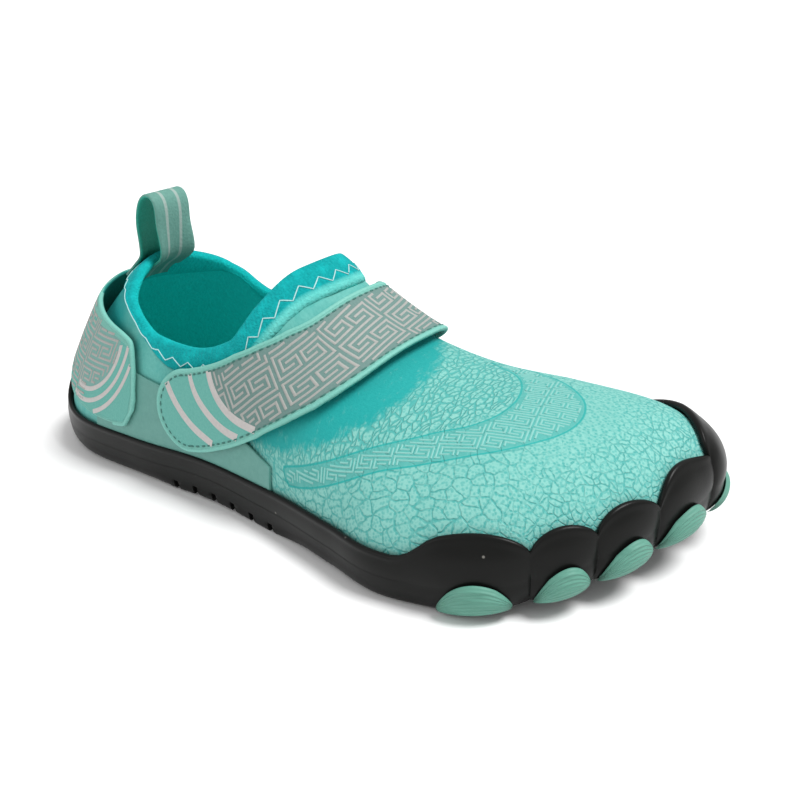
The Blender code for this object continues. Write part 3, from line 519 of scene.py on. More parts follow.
def rubber_top(rib):
    """Height of the rubber's top edge for each rib, above the local tread."""
    _, height, between = lobe_shape(rib)
    edge_x = rib_edge(rib)[:, 0]
    round_heel = np.degrees(np.arctan2(rib[:, 3], -rib[:, 2]))
    cup = np.exp(-((round_heel / HEEL_CUP_SPREAD) ** 2)) * (rib[:, 2] < 0)
    side = WALL_HEIGHT + (HEEL_CUP_HEIGHT - WALL_HEIGHT) * cup
    toe = TOE_NOTCH_HEIGHT + (TOE_LOBE_HEIGHT - TOE_NOTCH_HEIGHT) * height
    return side + (toe - side) * between + TREAD_FOLLOW * tread_height(edge_x)


def side_inset(rib, level):
    """How far the rubber's rounded side lies inside its widest, from tread (0) to footbed (1)."""
    s = share(rib_edge(rib)[:, 0])
    waist = smoothstep((s - 0.26) / 0.08) * smoothstep((0.60 - s) / 0.08)
    inset = TREAD_INSET + (WAIST_INSET - TREAD_INSET) * waist
    return inset * (1 - np.sqrt(1 - (1 - np.asarray(level, float)) ** 2))


def sole_ring(rib, outward, level):
    """Points beside the sole: so far outward from the plan curve, and up from tread to footbed."""
    edge = rib_edge(rib)
    plan = edge + rib[:, 5:7] * np.reshape(outward, (-1, 1))
    ground = tread_height(edge[:, 0])
    return np.column_stack([plan, ground + level * SOLE_THICKNESS])


def rubber_outside(rib, level):
    """Points on the rubber's side, from tread (0) to footbed (1)."""
    arch, _, between = lobe_shape(rib)
    out = RUBBER_WALL + GAP + LOBE_BULGE * (arch - 0.5) * between
    return sole_ring(rib, out - side_inset(rib, level), level)


def strap_curve(count):
    """The strap's middle line as rows of x and place round the section."""
    return open_curve(np.array([(at_share(p.x), p.around) for p in STRAP]), count)


def heel_profile(y, heights):
    """x of the skin behind the heel at each y, one row for each height."""
    rib = np.array([rib_at(a * SLING_REACH) for a in np.linspace(-0.5, 0.5, 21)])
    points = points_at_heights(rib, np.tile(heights, (len(rib), 1)))
    return np.array([np.interp(y, points[:, k, 1], points[:, k, 0]) for k in range(len(heights))])


def heel_tilt(y, heights):
    """How far the heel leans from upright at each height, in radians."""
    steep = (heel_profile(y, heights + GAP) - heel_profile(y, heights)) / GAP
    return np.arctan(steep.max(axis=1))


def pod_bow(place):
    """How full a pod is at a place along it, from -1 at its lateral end to 1 at its medial end."""
    return np.clip(1 - np.abs(place) ** 2.0, 0, 1) ** 0.8


def pod_level(bow, share_up):
    """How high a point of a pod lies, from tread (0) to footbed (1)."""
    return POD_BASE + share_up * POD_HEIGHT * (POD_TIP + (1 - POD_TIP) * bow)


def pod_points(rib, level, out):
    """Points just outside the rubber's side, one level for each rib."""
    arch, _, between = lobe_shape(rib)
    above = np.maximum(np.asarray(level) - 1, 0) * SOLE_THICKNESS
    side = RUBBER_WALL + GAP + LOBE_BULGE * (arch - 0.5) * between + side_bulge(above)
    return sole_ring(rib, side + out - side_inset(rib, np.minimum(level, 1)), level)


def rib_at(travel):
    """The rib at a place along the foot: metres from the heel's back, lateral side negative."""
    heel = at_share(HEEL_PIVOT)
    side = -1.0 if travel < 0 else 1.0
    far = abs(travel)
    if far > HEEL_ARC:
        return make_rib(heel + far - HEEL_ARC, side)
    turn = far / HEEL_ARC * math.pi / 2
    return make_rib(heel, side * math.sin(turn), -math.cos(turn))


def toe_rib(degrees):
    """The rib that meets the foot's outline at so many degrees round the toe."""
    toe = at_share(TOE_PIVOT)
    turn = math.radians(degrees)
    if abs(degrees) <= 90:
        return make_rib(toe, math.sin(turn), math.cos(turn))
    side = math.copysign(1.0, degrees)
    x = toe
    for _ in range(5):
        rib = make_rib(x, side)
        reach = abs(rib[1] + rib[3] * rib[4] - ridge_y(toe))
        x = toe + reach * math.cos(turn) / abs(math.sin(turn))
    return make_rib(x, side)


def fine_ribs(pitch, heel_step, toe_step, near=()):
    """Ribs once round the foot: lateral side, heel, medial side, toe."""
    heel, toe = at_share(HEEL_PIVOT), at_share(TOE_PIVOT)
    stations = np.linspace(heel, toe, round((toe - heel) / pitch) + 1)
    stations = np.array(sorted([*stations, *near]))
    rows = [make_rib(x, -1.0) for x in stations[::-1]]
    turn = np.linspace(0, math.pi, round(180 / heel_step) + 1)[1:-1]
    rows += [make_rib(heel, -math.cos(t), -math.sin(t)) for t in turn]
    rows += [make_rib(x, 1.0) for x in stations]
    degrees = []
    for lobe in LOBES:
        low, high = max(lobe.start, -89) + CREASE_HALF, min(lobe.end, 89) - CREASE_HALF
        even = np.linspace(0, 1, round((high - low) / toe_step) + 1)
        degrees += list(low + (high - low) * (even - 0.08 * np.sin(2 * math.pi * even)))
    degrees += [86.0, 88.0]
    rows += [make_rib(toe, math.sin(t), math.cos(t)) for t in np.radians(degrees[::-1])]
    return np.array(rows)


def quads(columns, rows, close_columns=False, close_rows=False):
    """Faces of a grid of points stored column by column."""
    faces = []
    for i in range(columns if close_columns else columns - 1):
        j = (i + 1) % columns
        for k in range(rows if close_rows else rows - 1):
            m = (k + 1) % rows
            faces.append((i * rows + k, j * rows + k, j * rows + m, i * rows + m))
    return faces


def lengths(points):
    """Distance along each line of points, on the first axis."""
    steps = np.linalg.norm(np.diff(points, axis=0), axis=-1)
    return np.concatenate([np.zeros((1, *steps.shape[1:])), np.cumsum(steps, axis=0)])


def unit(vectors):
    return vectors / np.maximum(np.linalg.norm(vectors, axis=-1, keepdims=True), 1e-12)


def outward_normals(grid, closed=False):
    """Normals of a grid of points on the skin, away from the inside of the foot."""
    if closed:
        along = np.roll(grid, -1, axis=0) - np.roll(grid, 1, axis=0)
    else:
        along = np.gradient(grid, axis=0)
    normal = unit(np.cross(np.gradient(grid, axis=1), along))
    inside = np.array([0.0, ridge_y(0.0), SIDE_DIP_HEIGHT / 2])
    return normal * np.sign(((grid - inside) * normal).sum())


def piece(name, points, faces, materials, traits=None, sharp=60, weld=True):
    """A mesh object from points and faces. traits are named values or vectors for each point."""
    mesh = bpy.data.meshes.new(name)
    mesh.from_pydata(np.asarray(points).reshape(-1, 3).tolist(), [], faces)
    for key, values in (traits or {}).items():
        values = np.asarray(values, np.float32)
        if values.shape[-1] == 3 and values.size == 3 * len(mesh.vertices):
            mesh.attributes.new(key, "FLOAT_VECTOR", "POINT").data.foreach_set("vector", values.ravel())
        else:
            mesh.attributes.new(key, "FLOAT", "POINT").data.foreach_set("value", values.ravel())
    shape = bmesh.new()
    shape.from_mesh(mesh)
    if weld:
        bmesh.ops.remove_doubles(shape, verts=shape.verts, dist=2e-6)
        bmesh.ops.dissolve_degenerate(shape, dist=1e-6, edges=shape.edges)
        bmesh.ops.recalc_face_normals(shape, faces=shape.faces)
    shape.to_mesh(mesh)
    shape.free()
    obj = bpy.data.objects.new(name, mesh)
    bpy.context.scene.collection.objects.link(obj)
    for one in materials:
        mesh.materials.append(one)
    mesh.shade_smooth()
    mesh.set_sharp_from_angle(angle=math.radians(sharp))
    return obj


def edge_steps(flat_count, round_share, round_count=4):
    """Places from -1 to 1 across a band, close together where its rounded edges are."""
    turn = np.linspace(0, math.pi / 2, round_count + 1)[1:]
    edge = 1 - round_share + round_share * np.sin(turn)
    return np.concatenate([-edge[::-1], np.linspace(-1, 1, flat_count) * (1 - round_share), edge])


def rounded(place, round_share):
    """Share of the full thickness at a place from -1 to 1 across a band with rounded edges."""
    over = np.clip((np.abs(place) - (1 - round_share)) / round_share, 0, 1)
    return np.sqrt(np.clip(1 - over**2, 0, 1))


def band(name, middle, normal, half, materials, traits):
    """A closed band: its middle surface as a grid [column, place across], and half its thickness."""
    outer = middle + normal * half[..., None]
    inner = (middle - normal * half[..., None])[:, ::-1]
    ring = np.concatenate([outer, inner], axis=1)
    columns, rows = ring.shape[:2]
    faces = quads(columns, rows, close_rows=True)
    size = rows // 2
    for i in (0, columns - 1):
        for k in range(size - 1):
            a, b = i * rows + k, i * rows + rows - 1 - k
            faces.append((a, a + 1, b - 1, b))
    both = {}
    for key, values in traits.items():
        both[key] = np.concatenate([values, values[:, ::-1]], axis=1)
    face = np.zeros((columns, rows))
    face[:, :size] = 1
    both["face"] = face
    return piece(name, ring, faces, materials, both)


def on_grid(grid, u, v):
    """Values of a grid at fractional columns u and rows v."""
    u = np.clip(np.asarray(u, float), 0, grid.shape[0] - 1.001)
    v = np.clip(np.asarray(v, float), 0, grid.shape[1] - 1.001)
    i, k = u.astype(int), v.astype(int)
    a, b = (u - i)[..., None], (v - k)[..., None]
    low = grid[i, k] * (1 - a) + grid[i + 1, k] * a
    high = grid[i, k + 1] * (1 - a) + grid[i + 1, k + 1] * a
    return low * (1 - b) + high * b


def thread(name, paths, radius, finish, sides=6, flat=0.75):
    """Threads along paths of (points, normals), as thin tubes that lie on a surface."""
    points, faces = [], []
    for path, normal in paths:
        along = unit(np.gradient(path, axis=0))
        side = unit(np.cross(along, normal))
        turn = np.linspace(0, 2 * math.pi, sides, endpoint=False)
        ring = side[:, None] * np.cos(turn)[None, :, None]
        ring = ring + unit(normal)[:, None] * np.sin(turn)[None, :, None] * flat
        start = len(points)
        points += list((path[:, None] + ring * radius).reshape(-1, 3))
        faces += [tuple(start + n for n in face) for face in quads(len(path), sides, close_rows=True)]
        faces.append(tuple(start + n for n in range(sides)))
        last = start + (len(path) - 1) * sides
        faces.append(tuple(last + n for n in range(sides))[::-1])
    return piece(name, points, faces, [finish], sharp=80)


def ribbons(name, strokes, place, half, lift, finish, step):
    """Flat raised lines. strokes are ((u0, v0), (u1, v1)) in metres on a surface, and place turns
    such points into (points, normals)."""
    across = np.array([-1.0, -0.72, 0.72, 1.0]) * half
    rise = np.array([-0.3, 1.0, 1.0, -0.3]) * lift
    flat, lifts, faces = [], [], []
    for start, end in strokes:
        start, end = np.array(start), np.array(end)
        size = np.linalg.norm(end - start)
        along = (end - start) / size
        side = np.array([-along[1], along[0]])
        count = max(2, int(math.ceil(size / step)) + 1)
        t = np.linspace(-half, size + half, count)
        first = len(lifts)
        for distance in t:
            for k in range(4):
                flat.append(start + along * distance + side * across[k])
                lifts.append(rise[k])
        faces += [tuple(first + n for n in face) for face in quads(count, 4)]
    points, normals = place(np.array(flat))
    points = points + normals * np.array(lifts)[:, None]
    return piece(name, points, faces, [finish], sharp=80, weld=False)


def node(tree, kind, inputs=None, **settings):
    """A shader node with its settings, and its inputs linked or set."""
    made = tree.nodes.new("ShaderNode" + kind)
    for key, value in settings.items():
        setattr(made, key, value)
    for key, value in (inputs or {}).items():
        socket = made.inputs[key]
        if isinstance(value, bpy.types.NodeSocket):
            tree.links.new(value, socket)
        elif value is not None:
            socket.default_value = value
    return made


def trait(tree, name, vector=False):
    """A named value stored on the points of a piece."""
    made = node(tree, "Attribute", attribute_name=name)
    return made.outputs["Vector" if vector else "Fac"]


def math_node(tree, operation, a, b=None):
    return node(tree, "Math", {0: a, 1: b}, operation=operation).outputs[0]


def times(tree, a, b):
    return math_node(tree, "MULTIPLY", a, b)


def plus(tree, a, b):
    return math_node(tree, "ADD", a, b)


def step_between(tree, value, low, high):
    """0 below low, 1 above high, smooth between."""
    made = node(tree, "MapRange", {"Value": value, "From Min": low, "From Max": high})
    made.interpolation_type = "SMOOTHSTEP"
    return made.outputs[0]


def blend_colour(tree, share_b, a, b, way="MIX"):
    made = node(tree, "Mix", data_type="RGBA", blend_type=way)
    for index, value in ((0, share_b), (6, a), (7, b)):
        if isinstance(value, bpy.types.NodeSocket):
            tree.links.new(value, made.inputs[index])
        else:
            made.inputs[index].default_value = value if index == 0 else (*value, 1.0)
    return made.outputs[2]


def noise(tree, where, scale, detail=2.0, rough=0.5):
    return node(
        tree, "TexNoise", {"Vector": where, "Scale": scale, "Detail": detail, "Roughness": rough}
    ).outputs["Fac"]


def mottled(tree, where, low, high, scale, detail=2.0, rough=0.5):
    """A colour that wanders between two."""
    return blend_colour(tree, noise(tree, where, scale, detail, rough), low, high)


def cells(tree, where, scale, feature="DISTANCE_TO_EDGE", flat="2D", uneven=1.0):
    made = node(
        tree, "TexVoronoi", {"Vector": where, "Scale": scale, "Randomness": uneven},
        feature=feature, voronoi_dimensions=flat,
    )
    return made.outputs["Distance"]


def scaled(tree, where, size):
    return node(tree, "Mapping", {"Vector": where, "Scale": size}).outputs[0]


def warped(tree, where, scale, amount):
    """Coordinates moved about by a soft noise."""
    drift = node(tree, "TexNoise", {"Vector": where, "Scale": scale, "Detail": 1.0}).outputs["Color"]
    centred = node(tree, "VectorMath", {0: drift, 1: (0.5, 0.5, 0.5)}, operation="SUBTRACT").outputs[0]
    grown = node(tree, "VectorMath", {0: centred, "Scale": amount}, operation="SCALE").outputs[0]
    return node(tree, "VectorMath", {0: where, 1: grown}, operation="ADD").outputs[0]


def finish(name, colour, roughness, height=None, depth=0.2, **sockets):
    """A material. Colour, roughness and relief may be functions that add nodes to its tree, and
    depth is the relief's, in mm."""
    made = bpy.data.materials.new(name)
    made.use_nodes = True
    tree = made.node_tree
    shader = tree.nodes["Principled BSDF"]
    colour = colour(tree) if callable(colour) else (*colour, 1.0)
    roughness = roughness(tree) if callable(roughness) else roughness
    settings = {"Base Color": colour, "Roughness": roughness, **sockets}
    for key, value in settings.items():
        if isinstance(value, bpy.types.NodeSocket):
            tree.links.new(value, shader.inputs[key])
        else:
            shader.inputs[key].default_value = value
    if height:
        bump = node(tree, "Bump", {"Height": height(tree), "Distance": depth * MM, "Strength": 1.0})
        tree.links.new(bump.outputs[0], shader.inputs["Normal"])
    return made


def object_place(tree):
    return node(tree, "TexCoord").outputs["Object"]


def rubber_colour(tree):
    where = object_place(tree)
    base = mottled(tree, where, (0.004, 0.0045, 0.004), (0.009, 0.009, 0.0085), 60, 4)
    speck = cells(tree, where, 130, "F1", "3D")
    rare = step_between(tree, noise(tree, where, 35, 1), 0.56, 0.64)
    dust = times(tree, step_between(tree, speck, 0.065, 0.03), rare)
    return blend_colour(tree, dust, base, (0.16, 0.155, 0.14))


def rubber_height(tree):
    where = object_place(tree)
    grain = noise(tree, where, 1500, 2)
    soft = noise(tree, where, 90, 2)
    tread = trait(tree, "tread")
    wavy = warped(tree, scaled(tree, where, (1, 1, 0)), 60, 0.004)
    chevron = node(
        tree, "TexWave", {"Vector": wavy, "Scale": 55.0},
        wave_type="BANDS", bands_direction="X", wave_profile="TRI",
    ).outputs["Fac"]
    lines = times(tree, chevron, times(tree, tread, 4.0))
    both = plus(tree, times(tree, grain, 0.25), soft)
    return plus(tree, both, lines)


def rubber_roughness(tree):
    return node(
        tree, "MapRange",
        {"Value": noise(tree, object_place(tree), 45, 3), "To Min": 0.24, "To Max": 0.42},
    ).outputs[0]


def pod_colour(tree):
    tip = step_between(tree, trait(tree, "run"), 0.75, 1.0)
    streak = noise(tree, scaled(tree, object_place(tree), (1, 1, 9)), 130, 3)
    base = blend_colour(tree, streak, (0.068, 0.225, 0.168), (0.115, 0.320, 0.245))
    return blend_colour(tree, tip, base, (0.075, 0.220, 0.165))


def pod_height(tree):
    up = trait(tree, "up")
    wave = math_node(tree, "SINE", times(tree, up, 52.0))
    rough = noise(tree, object_place(tree), 420, 2)
    return plus(tree, wave, rough)


def print_masks(tree):
    """The print on the vamp: its flat place, and how much print there is, from 0 to 1."""
    flat = trait(tree, "flat", True)
    bent = warped(tree, flat, 210, 0.0034)
    broken = node(
        tree, "MapRange",
        {"Value": noise(tree, flat, 150), "From Min": 0.35, "From Max": 0.62,
         "To Min": 0.55, "To Max": 0.0},
    ).outputs[0]
    large = step_between(tree, cells(tree, scaled(tree, bent, (1, 1.15, 1)), 250), 0.0, 0.12)
    small = step_between(tree, cells(tree, bent, 430), 0.0, 0.16)
    large, small = (math_node(tree, "MAXIMUM", cell, broken) for cell in (large, small))
    ripple_place = warped(tree, scaled(tree, flat, (1.0, 0.48, 1.0)), 260, 0.0034)
    ripple = step_between(tree, cells(tree, ripple_place, 600), 0.05, 0.20)
    fine_lines = node(
        tree, "TexWave",
        {"Vector": warped(tree, flat, 90, 0.003), "Scale": 190.0, "Distortion": 1.5,
         "Detail Scale": 60.0},
        wave_type="BANDS", bands_direction="DIAGONAL",
    ).outputs["Fac"]
    most = large
    lines = node(tree, "MapRange", {"Value": fine_lines, "To Min": 0.72, "To Max": 1.0}).outputs[0]
    for zone, other in (("near_toe", small), ("inner", ripple), ("plain", lines)):
        most = node(tree, "Mix", {0: trait(tree, zone), 2: most, 3: other}).outputs[0]
    return flat, most


def unprinted_shaded_share(tree, flat):
    """Where the cloth is left without print and darkened as a painted shadow of the strap: the edge of the
    print is ragged and soft.
    """
    ragged = math_node(tree, "SUBTRACT", noise(tree, scaled(tree, flat, (1, 0.5, 1)), 420, 3, 0.7), 0.5)
    ragged = plus(tree, trait(tree, "unprinted_strap_shade"), times(tree, ragged, 1.4))
    return step_between(tree, ragged, 0.25, 0.95)


def print_colour(tree):
    flat, most = print_masks(tree)
    ground = mottled(tree, flat, (0.045, 0.310, 0.285), (0.090, 0.395, 0.362), 900)
    ink = mottled(tree, flat, (0.160, 0.450, 0.400), (0.235, 0.520, 0.465), 45)
    speckle = step_between(tree, noise(tree, flat, 1500, 1), 0.30, 0.50)
    pores = step_between(tree, cells(tree, flat, 800, "F1"), 0.42, 0.20)
    most = math_node(tree, "SUBTRACT", most, times(tree, pores, 0.60))
    ink_share = times(tree, most, plus(tree, times(tree, speckle, 0.35), 0.65))
    printed = blend_colour(tree, ink_share, ground, ink)
    edge = trait(tree, "crescent")
    crescent = mottled(tree, flat, (0.060, 0.335, 0.305), (0.105, 0.405, 0.370), 700)
    printed = blend_colour(tree, step_between(tree, edge, -0.1, 0.35), printed, crescent)
    outline = times(tree, step_between(tree, edge, -0.75, -0.35), step_between(tree, edge, 0.25, -0.05))
    printed = blend_colour(tree, outline, printed, (0.020, 0.330, 0.305))
    # darker plain teal: unprinted cloth under the strap, with a painted shadow of the strap
    unprinted_cloth_in_shade = mottled(tree, flat, (0.000, 0.262, 0.252), (0.012, 0.340, 0.326), 1100)
    colour = blend_colour(tree, unprinted_shaded_share(tree, flat), printed, unprinted_cloth_in_shade)
    mint = mottled(tree, flat, (0.075, 0.350, 0.310), (0.150, 0.480, 0.430), 900, 3)
    clouds = step_between(tree, noise(tree, flat, 75, 4, 0.6), 0.42, 0.70)
    mint = blend_colour(tree, times(tree, clouds, 0.55), mint, (0.020, 0.310, 0.285))
    return blend_colour(tree, trait(tree, "rear"), colour, mint)


def print_height(tree):
    flat, most = print_masks(tree)
    raised = times(tree, most, math_node(tree, "SUBTRACT", 1.0, unprinted_shaded_share(tree, flat)))
    return plus(tree, raised, times(tree, noise(tree, flat, 1800), 0.35))


def speckled(low, high, scale, detail=2.0, rough=0.5):
    return lambda tree: mottled(tree, object_place(tree), low, high, scale, detail, rough)


def cloth_height(scale):
    def height(tree):
        where = object_place(tree)
        return plus(tree, noise(tree, where, scale, 3), cells(tree, where, scale * 0.9, "F1", "3D"))

    return height


def knit_colour(tree):
    where = object_place(tree)
    fuzz = noise(tree, where, 1300, 3)
    outside = blend_colour(tree, fuzz, (0.000, 0.190, 0.200), (0.004, 0.390, 0.395))
    clouds = step_between(tree, noise(tree, where, 260, 3), 0.45, 0.75)
    outside = blend_colour(tree, times(tree, clouds, 0.6), outside, (0.006, 0.440, 0.445))
    inside = blend_colour(tree, fuzz, (0.000, 0.480, 0.460), (0.008, 0.640, 0.610))
    colour = blend_colour(tree, trait(tree, "inside"), outside, inside)
    soft = mottled(tree, where, (0.080, 0.480, 0.440), (0.160, 0.600, 0.550), 500)
    return blend_colour(tree, trait(tree, "mint"), colour, soft)


def knit_height(tree):
    where = object_place(tree)
    rib = math_node(tree, "SINE", times(tree, trait(tree, "run"), 2 * math.pi / KNIT_PITCH))
    fuzz = noise(tree, where, 1500, 3)
    return plus(tree, times(tree, rib, 0.07), fuzz)


def web_colour(tree, low=(0.100, 0.185, 0.170), high=(0.150, 0.245, 0.226)):
    """The printed face of the strap and the sling: fret ground, striped end and bound edge."""
    where = object_place(tree)
    fine = noise(tree, where, 1600, 2)
    ground = blend_colour(tree, fine, low, high)
    striped = blend_colour(tree, fine, (0.088, 0.320, 0.275), (0.145, 0.415, 0.360))
    colour = blend_colour(tree, step_between(tree, trait(tree, "arc"), 0.2, -0.2), ground, striped)
    bound = blend_colour(tree, fine, (0.115, 0.350, 0.295), (0.190, 0.460, 0.395))
    colour = blend_colour(tree, step_between(tree, trait(tree, "edge"), 2.1, 1.8), colour, bound)
    under = blend_colour(tree, fine, (0.010, 0.220, 0.190), (0.030, 0.330, 0.290))
    return blend_colour(tree, trait(tree, "face"), under, colour)


def web_height(tree):
    where = object_place(tree)
    edge = trait(tree, "edge")
    groove = times(tree, step_between(tree, edge, 1.7, 2.0), step_between(tree, edge, 2.5, 2.2))
    weave = noise(tree, where, 1500, 2)
    return math_node(tree, "SUBTRACT", times(tree, weave, 0.5), groove)


def loop_colour(tree):
    where = object_place(tree)
    fine = noise(tree, where, 1300, 2)
    outer = blend_colour(tree, fine, (0.075, 0.215, 0.178), (0.120, 0.290, 0.245))
    across = trait(tree, "across")
    stripe = math_node(
        tree, "MULTIPLY", step_between(tree, math_node(tree, "ABSOLUTE", across), 0.30, 0.34),
        step_between(tree, math_node(tree, "ABSOLUTE", across), 0.50, 0.46),
    )
    outer = blend_colour(tree, stripe, outer, (0.260, 0.350, 0.320))
    inner = blend_colour(tree, fine, (0.004, 0.230, 0.165), (0.018, 0.330, 0.250))
    return blend_colour(tree, trait(tree, "face"), inner, outer)


def sling_colour(tree):
    return web_colour(tree, (0.130, 0.290, 0.262), (0.200, 0.380, 0.345))


def shine(level):
    return {"Specular IOR Level": level}


RUBBER = finish("black_rubber", rubber_colour, rubber_roughness, rubber_height, 0.06, **shine(0.12))
POD = finish("mint_rubber", pod_colour, 0.58, pod_height, 0.10)
PRINT = finish("printed_stretch", print_colour, 0.66, print_height, 0.20, **shine(0.30))
KNIT = finish("collar_knit", knit_colour, 0.92, knit_height, 0.45, **shine(0.15))
WEB = finish("woven_strap", web_colour, 0.74, web_height, 0.16, **shine(0.30))
SLING_WEB = finish("sling_web", sling_colour, 0.74, web_height, 0.16, **shine(0.30))
LOOP_WEB = finish("loop_strip", loop_colour, 0.72, cloth_height(1200), 0.10)

# Plain finishes: two colours and the noise that mixes them, and the scale and depth of the relief
Plain = namedtuple("Plain", "name low high noise roughness relief depth")
LINING, QUARTER_FACE, INSOLE, FRET_INK, STRIPE_INK, DARK_THREAD, PALE_THREAD, PIPING, VAMP_INK = (
    finish(p.name, speckled(p.low, p.high, *p.noise), p.roughness, cloth_height(p.relief), p.depth)
    for p in (
        Plain("lining", (0.000, 0.640, 0.610), (0.010, 0.800, 0.760), (700, 3), 0.92, 1100, 0.25),
        Plain("quarter_sheet", (0.068, 0.230, 0.198), (0.120, 0.315, 0.272), (400, 4, 0.7), 0.6, 900, 0.04),
        Plain("insole_cloth", (0.002, 0.300, 0.280), (0.010, 0.440, 0.400), (900, 3), 0.90, 800, 0.25),
        Plain("fret_ink", (0.265, 0.275, 0.258), (0.350, 0.350, 0.330), (1500,), 0.60, 1500, 0.03),
        Plain("stripe_ink", (0.400, 0.380, 0.370), (0.520, 0.490, 0.475), (1200,), 0.60, 1300, 0.03),
        Plain("dark_thread", (0.020, 0.110, 0.090), (0.050, 0.190, 0.160), (2500,), 0.70, 3000, 0.05),
        Plain("pale_thread", (0.300, 0.560, 0.560), (0.450, 0.680, 0.680), (2500,), 0.65, 3000, 0.05),
        Plain("piping", (0.120, 0.390, 0.330), (0.190, 0.490, 0.420), (1500,), 0.65, 1500, 0.08),
        Plain("raised_print", (0.150, 0.430, 0.390), (0.215, 0.495, 0.450), (900,), 0.55, 1500, 0.03),
    )
)


def build_sole():
    """The rubber cup: smooth toe lobes with creases between, a beaded lip, and the grooved tread."""
    grooves = [at_share(FIRST_GROOVE) + k * GROOVE_PITCH for k in range(GROOVES)]
    near = []
    for groove in grooves:
        for half in (GROOVE_WIDTH / 2 - 0.1 * MM, GROOVE_WIDTH / 2 + 0.1 * MM):
            near += [groove - half, groove + half]
    rib = fine_ribs(2.6 * MM, 5, 1.25, near)
    arch, _, between = lobe_shape(rib)
    top = rubber_top(rib)
    end = angle_at(rib, lambda x: top)
    rise = np.linspace(0, 1, 16)
    skin_grid = skin(rib[:, None, :], end[:, None] * rise)
    normal = outward_normals(skin_grid, closed=True)
    bulge = (LOBE_BULGE * (arch - 0.5) * between)[:, None]
    bead = LIP_BEAD * np.exp(-(((rise - 1) * 9) ** 2))
    wall = RUBBER_WALL + (RUBBER_LIP - RUBBER_WALL) * rise + bulge * (1 - 0.5 * rise) + bead
    clear = SKIN_GAPS * GAP
    inner = skin_grid + normal * clear
    outer = skin_grid + normal * (GAP + wall)[..., None]
    inner[:, 0, 2] = floor_height(rib_edge(rib)[:, 0])
    up = unit(skin_grid[:, -1] - skin_grid[:, -2])
    thick = (GAP + wall[:, -1] - clear) / 2
    rim = []
    for turn in np.linspace(0, math.pi, 7)[1:-1]:
        outward = (clear + thick * (1 + math.cos(turn)))[:, None]
        rise_here = (thick * math.sin(turn))[:, None]
        rim.append(skin_grid[:, -1] + normal[:, -1] * outward + up * rise_here)
    levels = 1 - np.linspace(0, 1, 12) ** 0.8
    side = [rubber_outside(rib, level) for level in levels]

    def to_spine(start, height, steps):
        made = []
        for t in steps:
            plan = rib[:, 0:2] + (start[:, :2] - rib[:, 0:2]) * t
            made.append(np.column_stack([plan, height(plan[:, 0])]))
        return made

    columns = to_spine(inner[:, 0], floor_height, (0.0, 0.35, 0.7))
    columns += [inner[:, k] for k in range(0, 16, 3)]
    columns += rim[::-1]
    columns += [outer[:, k] for k in range(15, 0, -1)]
    first_side = len(columns)
    columns += side
    first_tread = len(columns)
    columns += to_spine(side[-1], tread_height, (0.96, 0.85, 0.6, 0.3, 0.0))
    grid = np.stack(columns, 1)
    for groove in grooves:
        inside = np.abs(rib[:, 0] - groove) < GROOVE_WIDTH / 2
        roof = tread_height(groove) + GROOVE_DEPTH + GROOVE_EXTRA
        grid[inside, first_side:, 2] = np.maximum(grid[inside, first_side:, 2], roof)
    tread = np.zeros(grid.shape[:2])
    tread[:, first_tread:] = 1
    faces = quads(len(grid), grid.shape[1], close_columns=True)
    return piece("sole_rubber", grid, faces, [RUBBER], {"tread": tread}, sharp=42)


def build_pods():
    """A soft lens-shaped pod under each toe lobe, with fine ridges along it."""
    made = []
    for number, lobe in enumerate(LOBES, 1):
        start = max(lobe.start, -POD_LIMIT) + POD_MARGIN
        end = lobe.end - POD_END * (lobe.end - lobe.start)
        rib = np.array([toe_rib(d) for d in np.linspace(start, end, 61)])
        place = np.linspace(-1, 1, len(rib))
        bow = pod_bow(place)
        inner, outer, ups = [], [], []
        for t in np.linspace(0, 1, 7):
            inner.append(pod_points(rib, pod_level(bow, t), POD_GAPS * GAP))
        for t in np.linspace(0, 1, 22):
            swell = POD_BULGE * bow * math.sin(math.pi * (0.25 + 0.6 * t))
            edge = math.sqrt(max(0.0, 1 - max(0.0, (t - 0.86) / 0.14) ** 2))
            ridge = 0.10 * MM * math.sin(t * 52)
            thick = (POD_EDGE * rounded(place, 0.08) + swell + ridge * bow) * (0.25 + 0.75 * edge)
            outer.append(pod_points(rib, pod_level(bow, t), POD_GAPS * GAP + thick))
            ups.append(t)
        ring = np.stack([*outer, *inner[::-1]], 1)
        up = np.tile([*ups, *[1.0] * 7], (len(rib), 1))
        run = np.tile(np.abs(place)[:, None], (1, ring.shape[1]))
        faces = quads(len(ring), ring.shape[1], close_rows=True)
        size = ring.shape[1]
        faces += [tuple(range(size)), tuple((len(ring) - 1) * size + n for n in range(size))[::-1]]
        pod = piece(f"toe_pad_{number}", ring, faces, [POD], {"up": up, "run": run}, sharp=70)
        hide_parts(f"toe_pod_{number}")
        made.append(pod)
    return made


def crescent_outline():
    """The printed crescent on the vamp as a closed outline, unrolled from the skin, in metres."""
    knots = np.array(CRESCENT, float) * MM
    outer, inner = (open_curve(knots[:, k : k + 2], 70) for k in (0, 2))
    return np.vstack([outer, inner[::-1]])


def inside_distance(points, outline):
    """Signed distance of flat points to a closed outline, positive inside."""
    best = np.full(len(points), np.inf)
    inside = np.zeros(len(points), bool)
    for a, b in zip(outline, np.roll(outline, -1, axis=0)):
        side = b - a
        t = np.clip(((points - a) @ side) / max(side @ side, 1e-18), 0, 1)
        best = np.minimum(best, np.linalg.norm(points - a - t[:, None] * side, axis=1))
        crosses = (a[1] > points[:, 1]) != (b[1] > points[:, 1])
        slope = side[0] / side[1] if abs(side[1]) > 1e-12 else 0.0
        inside ^= crosses & (points[:, 0] < a[0] + (points[:, 1] - a[1]) * slope)
    return np.where(inside, best, -best)


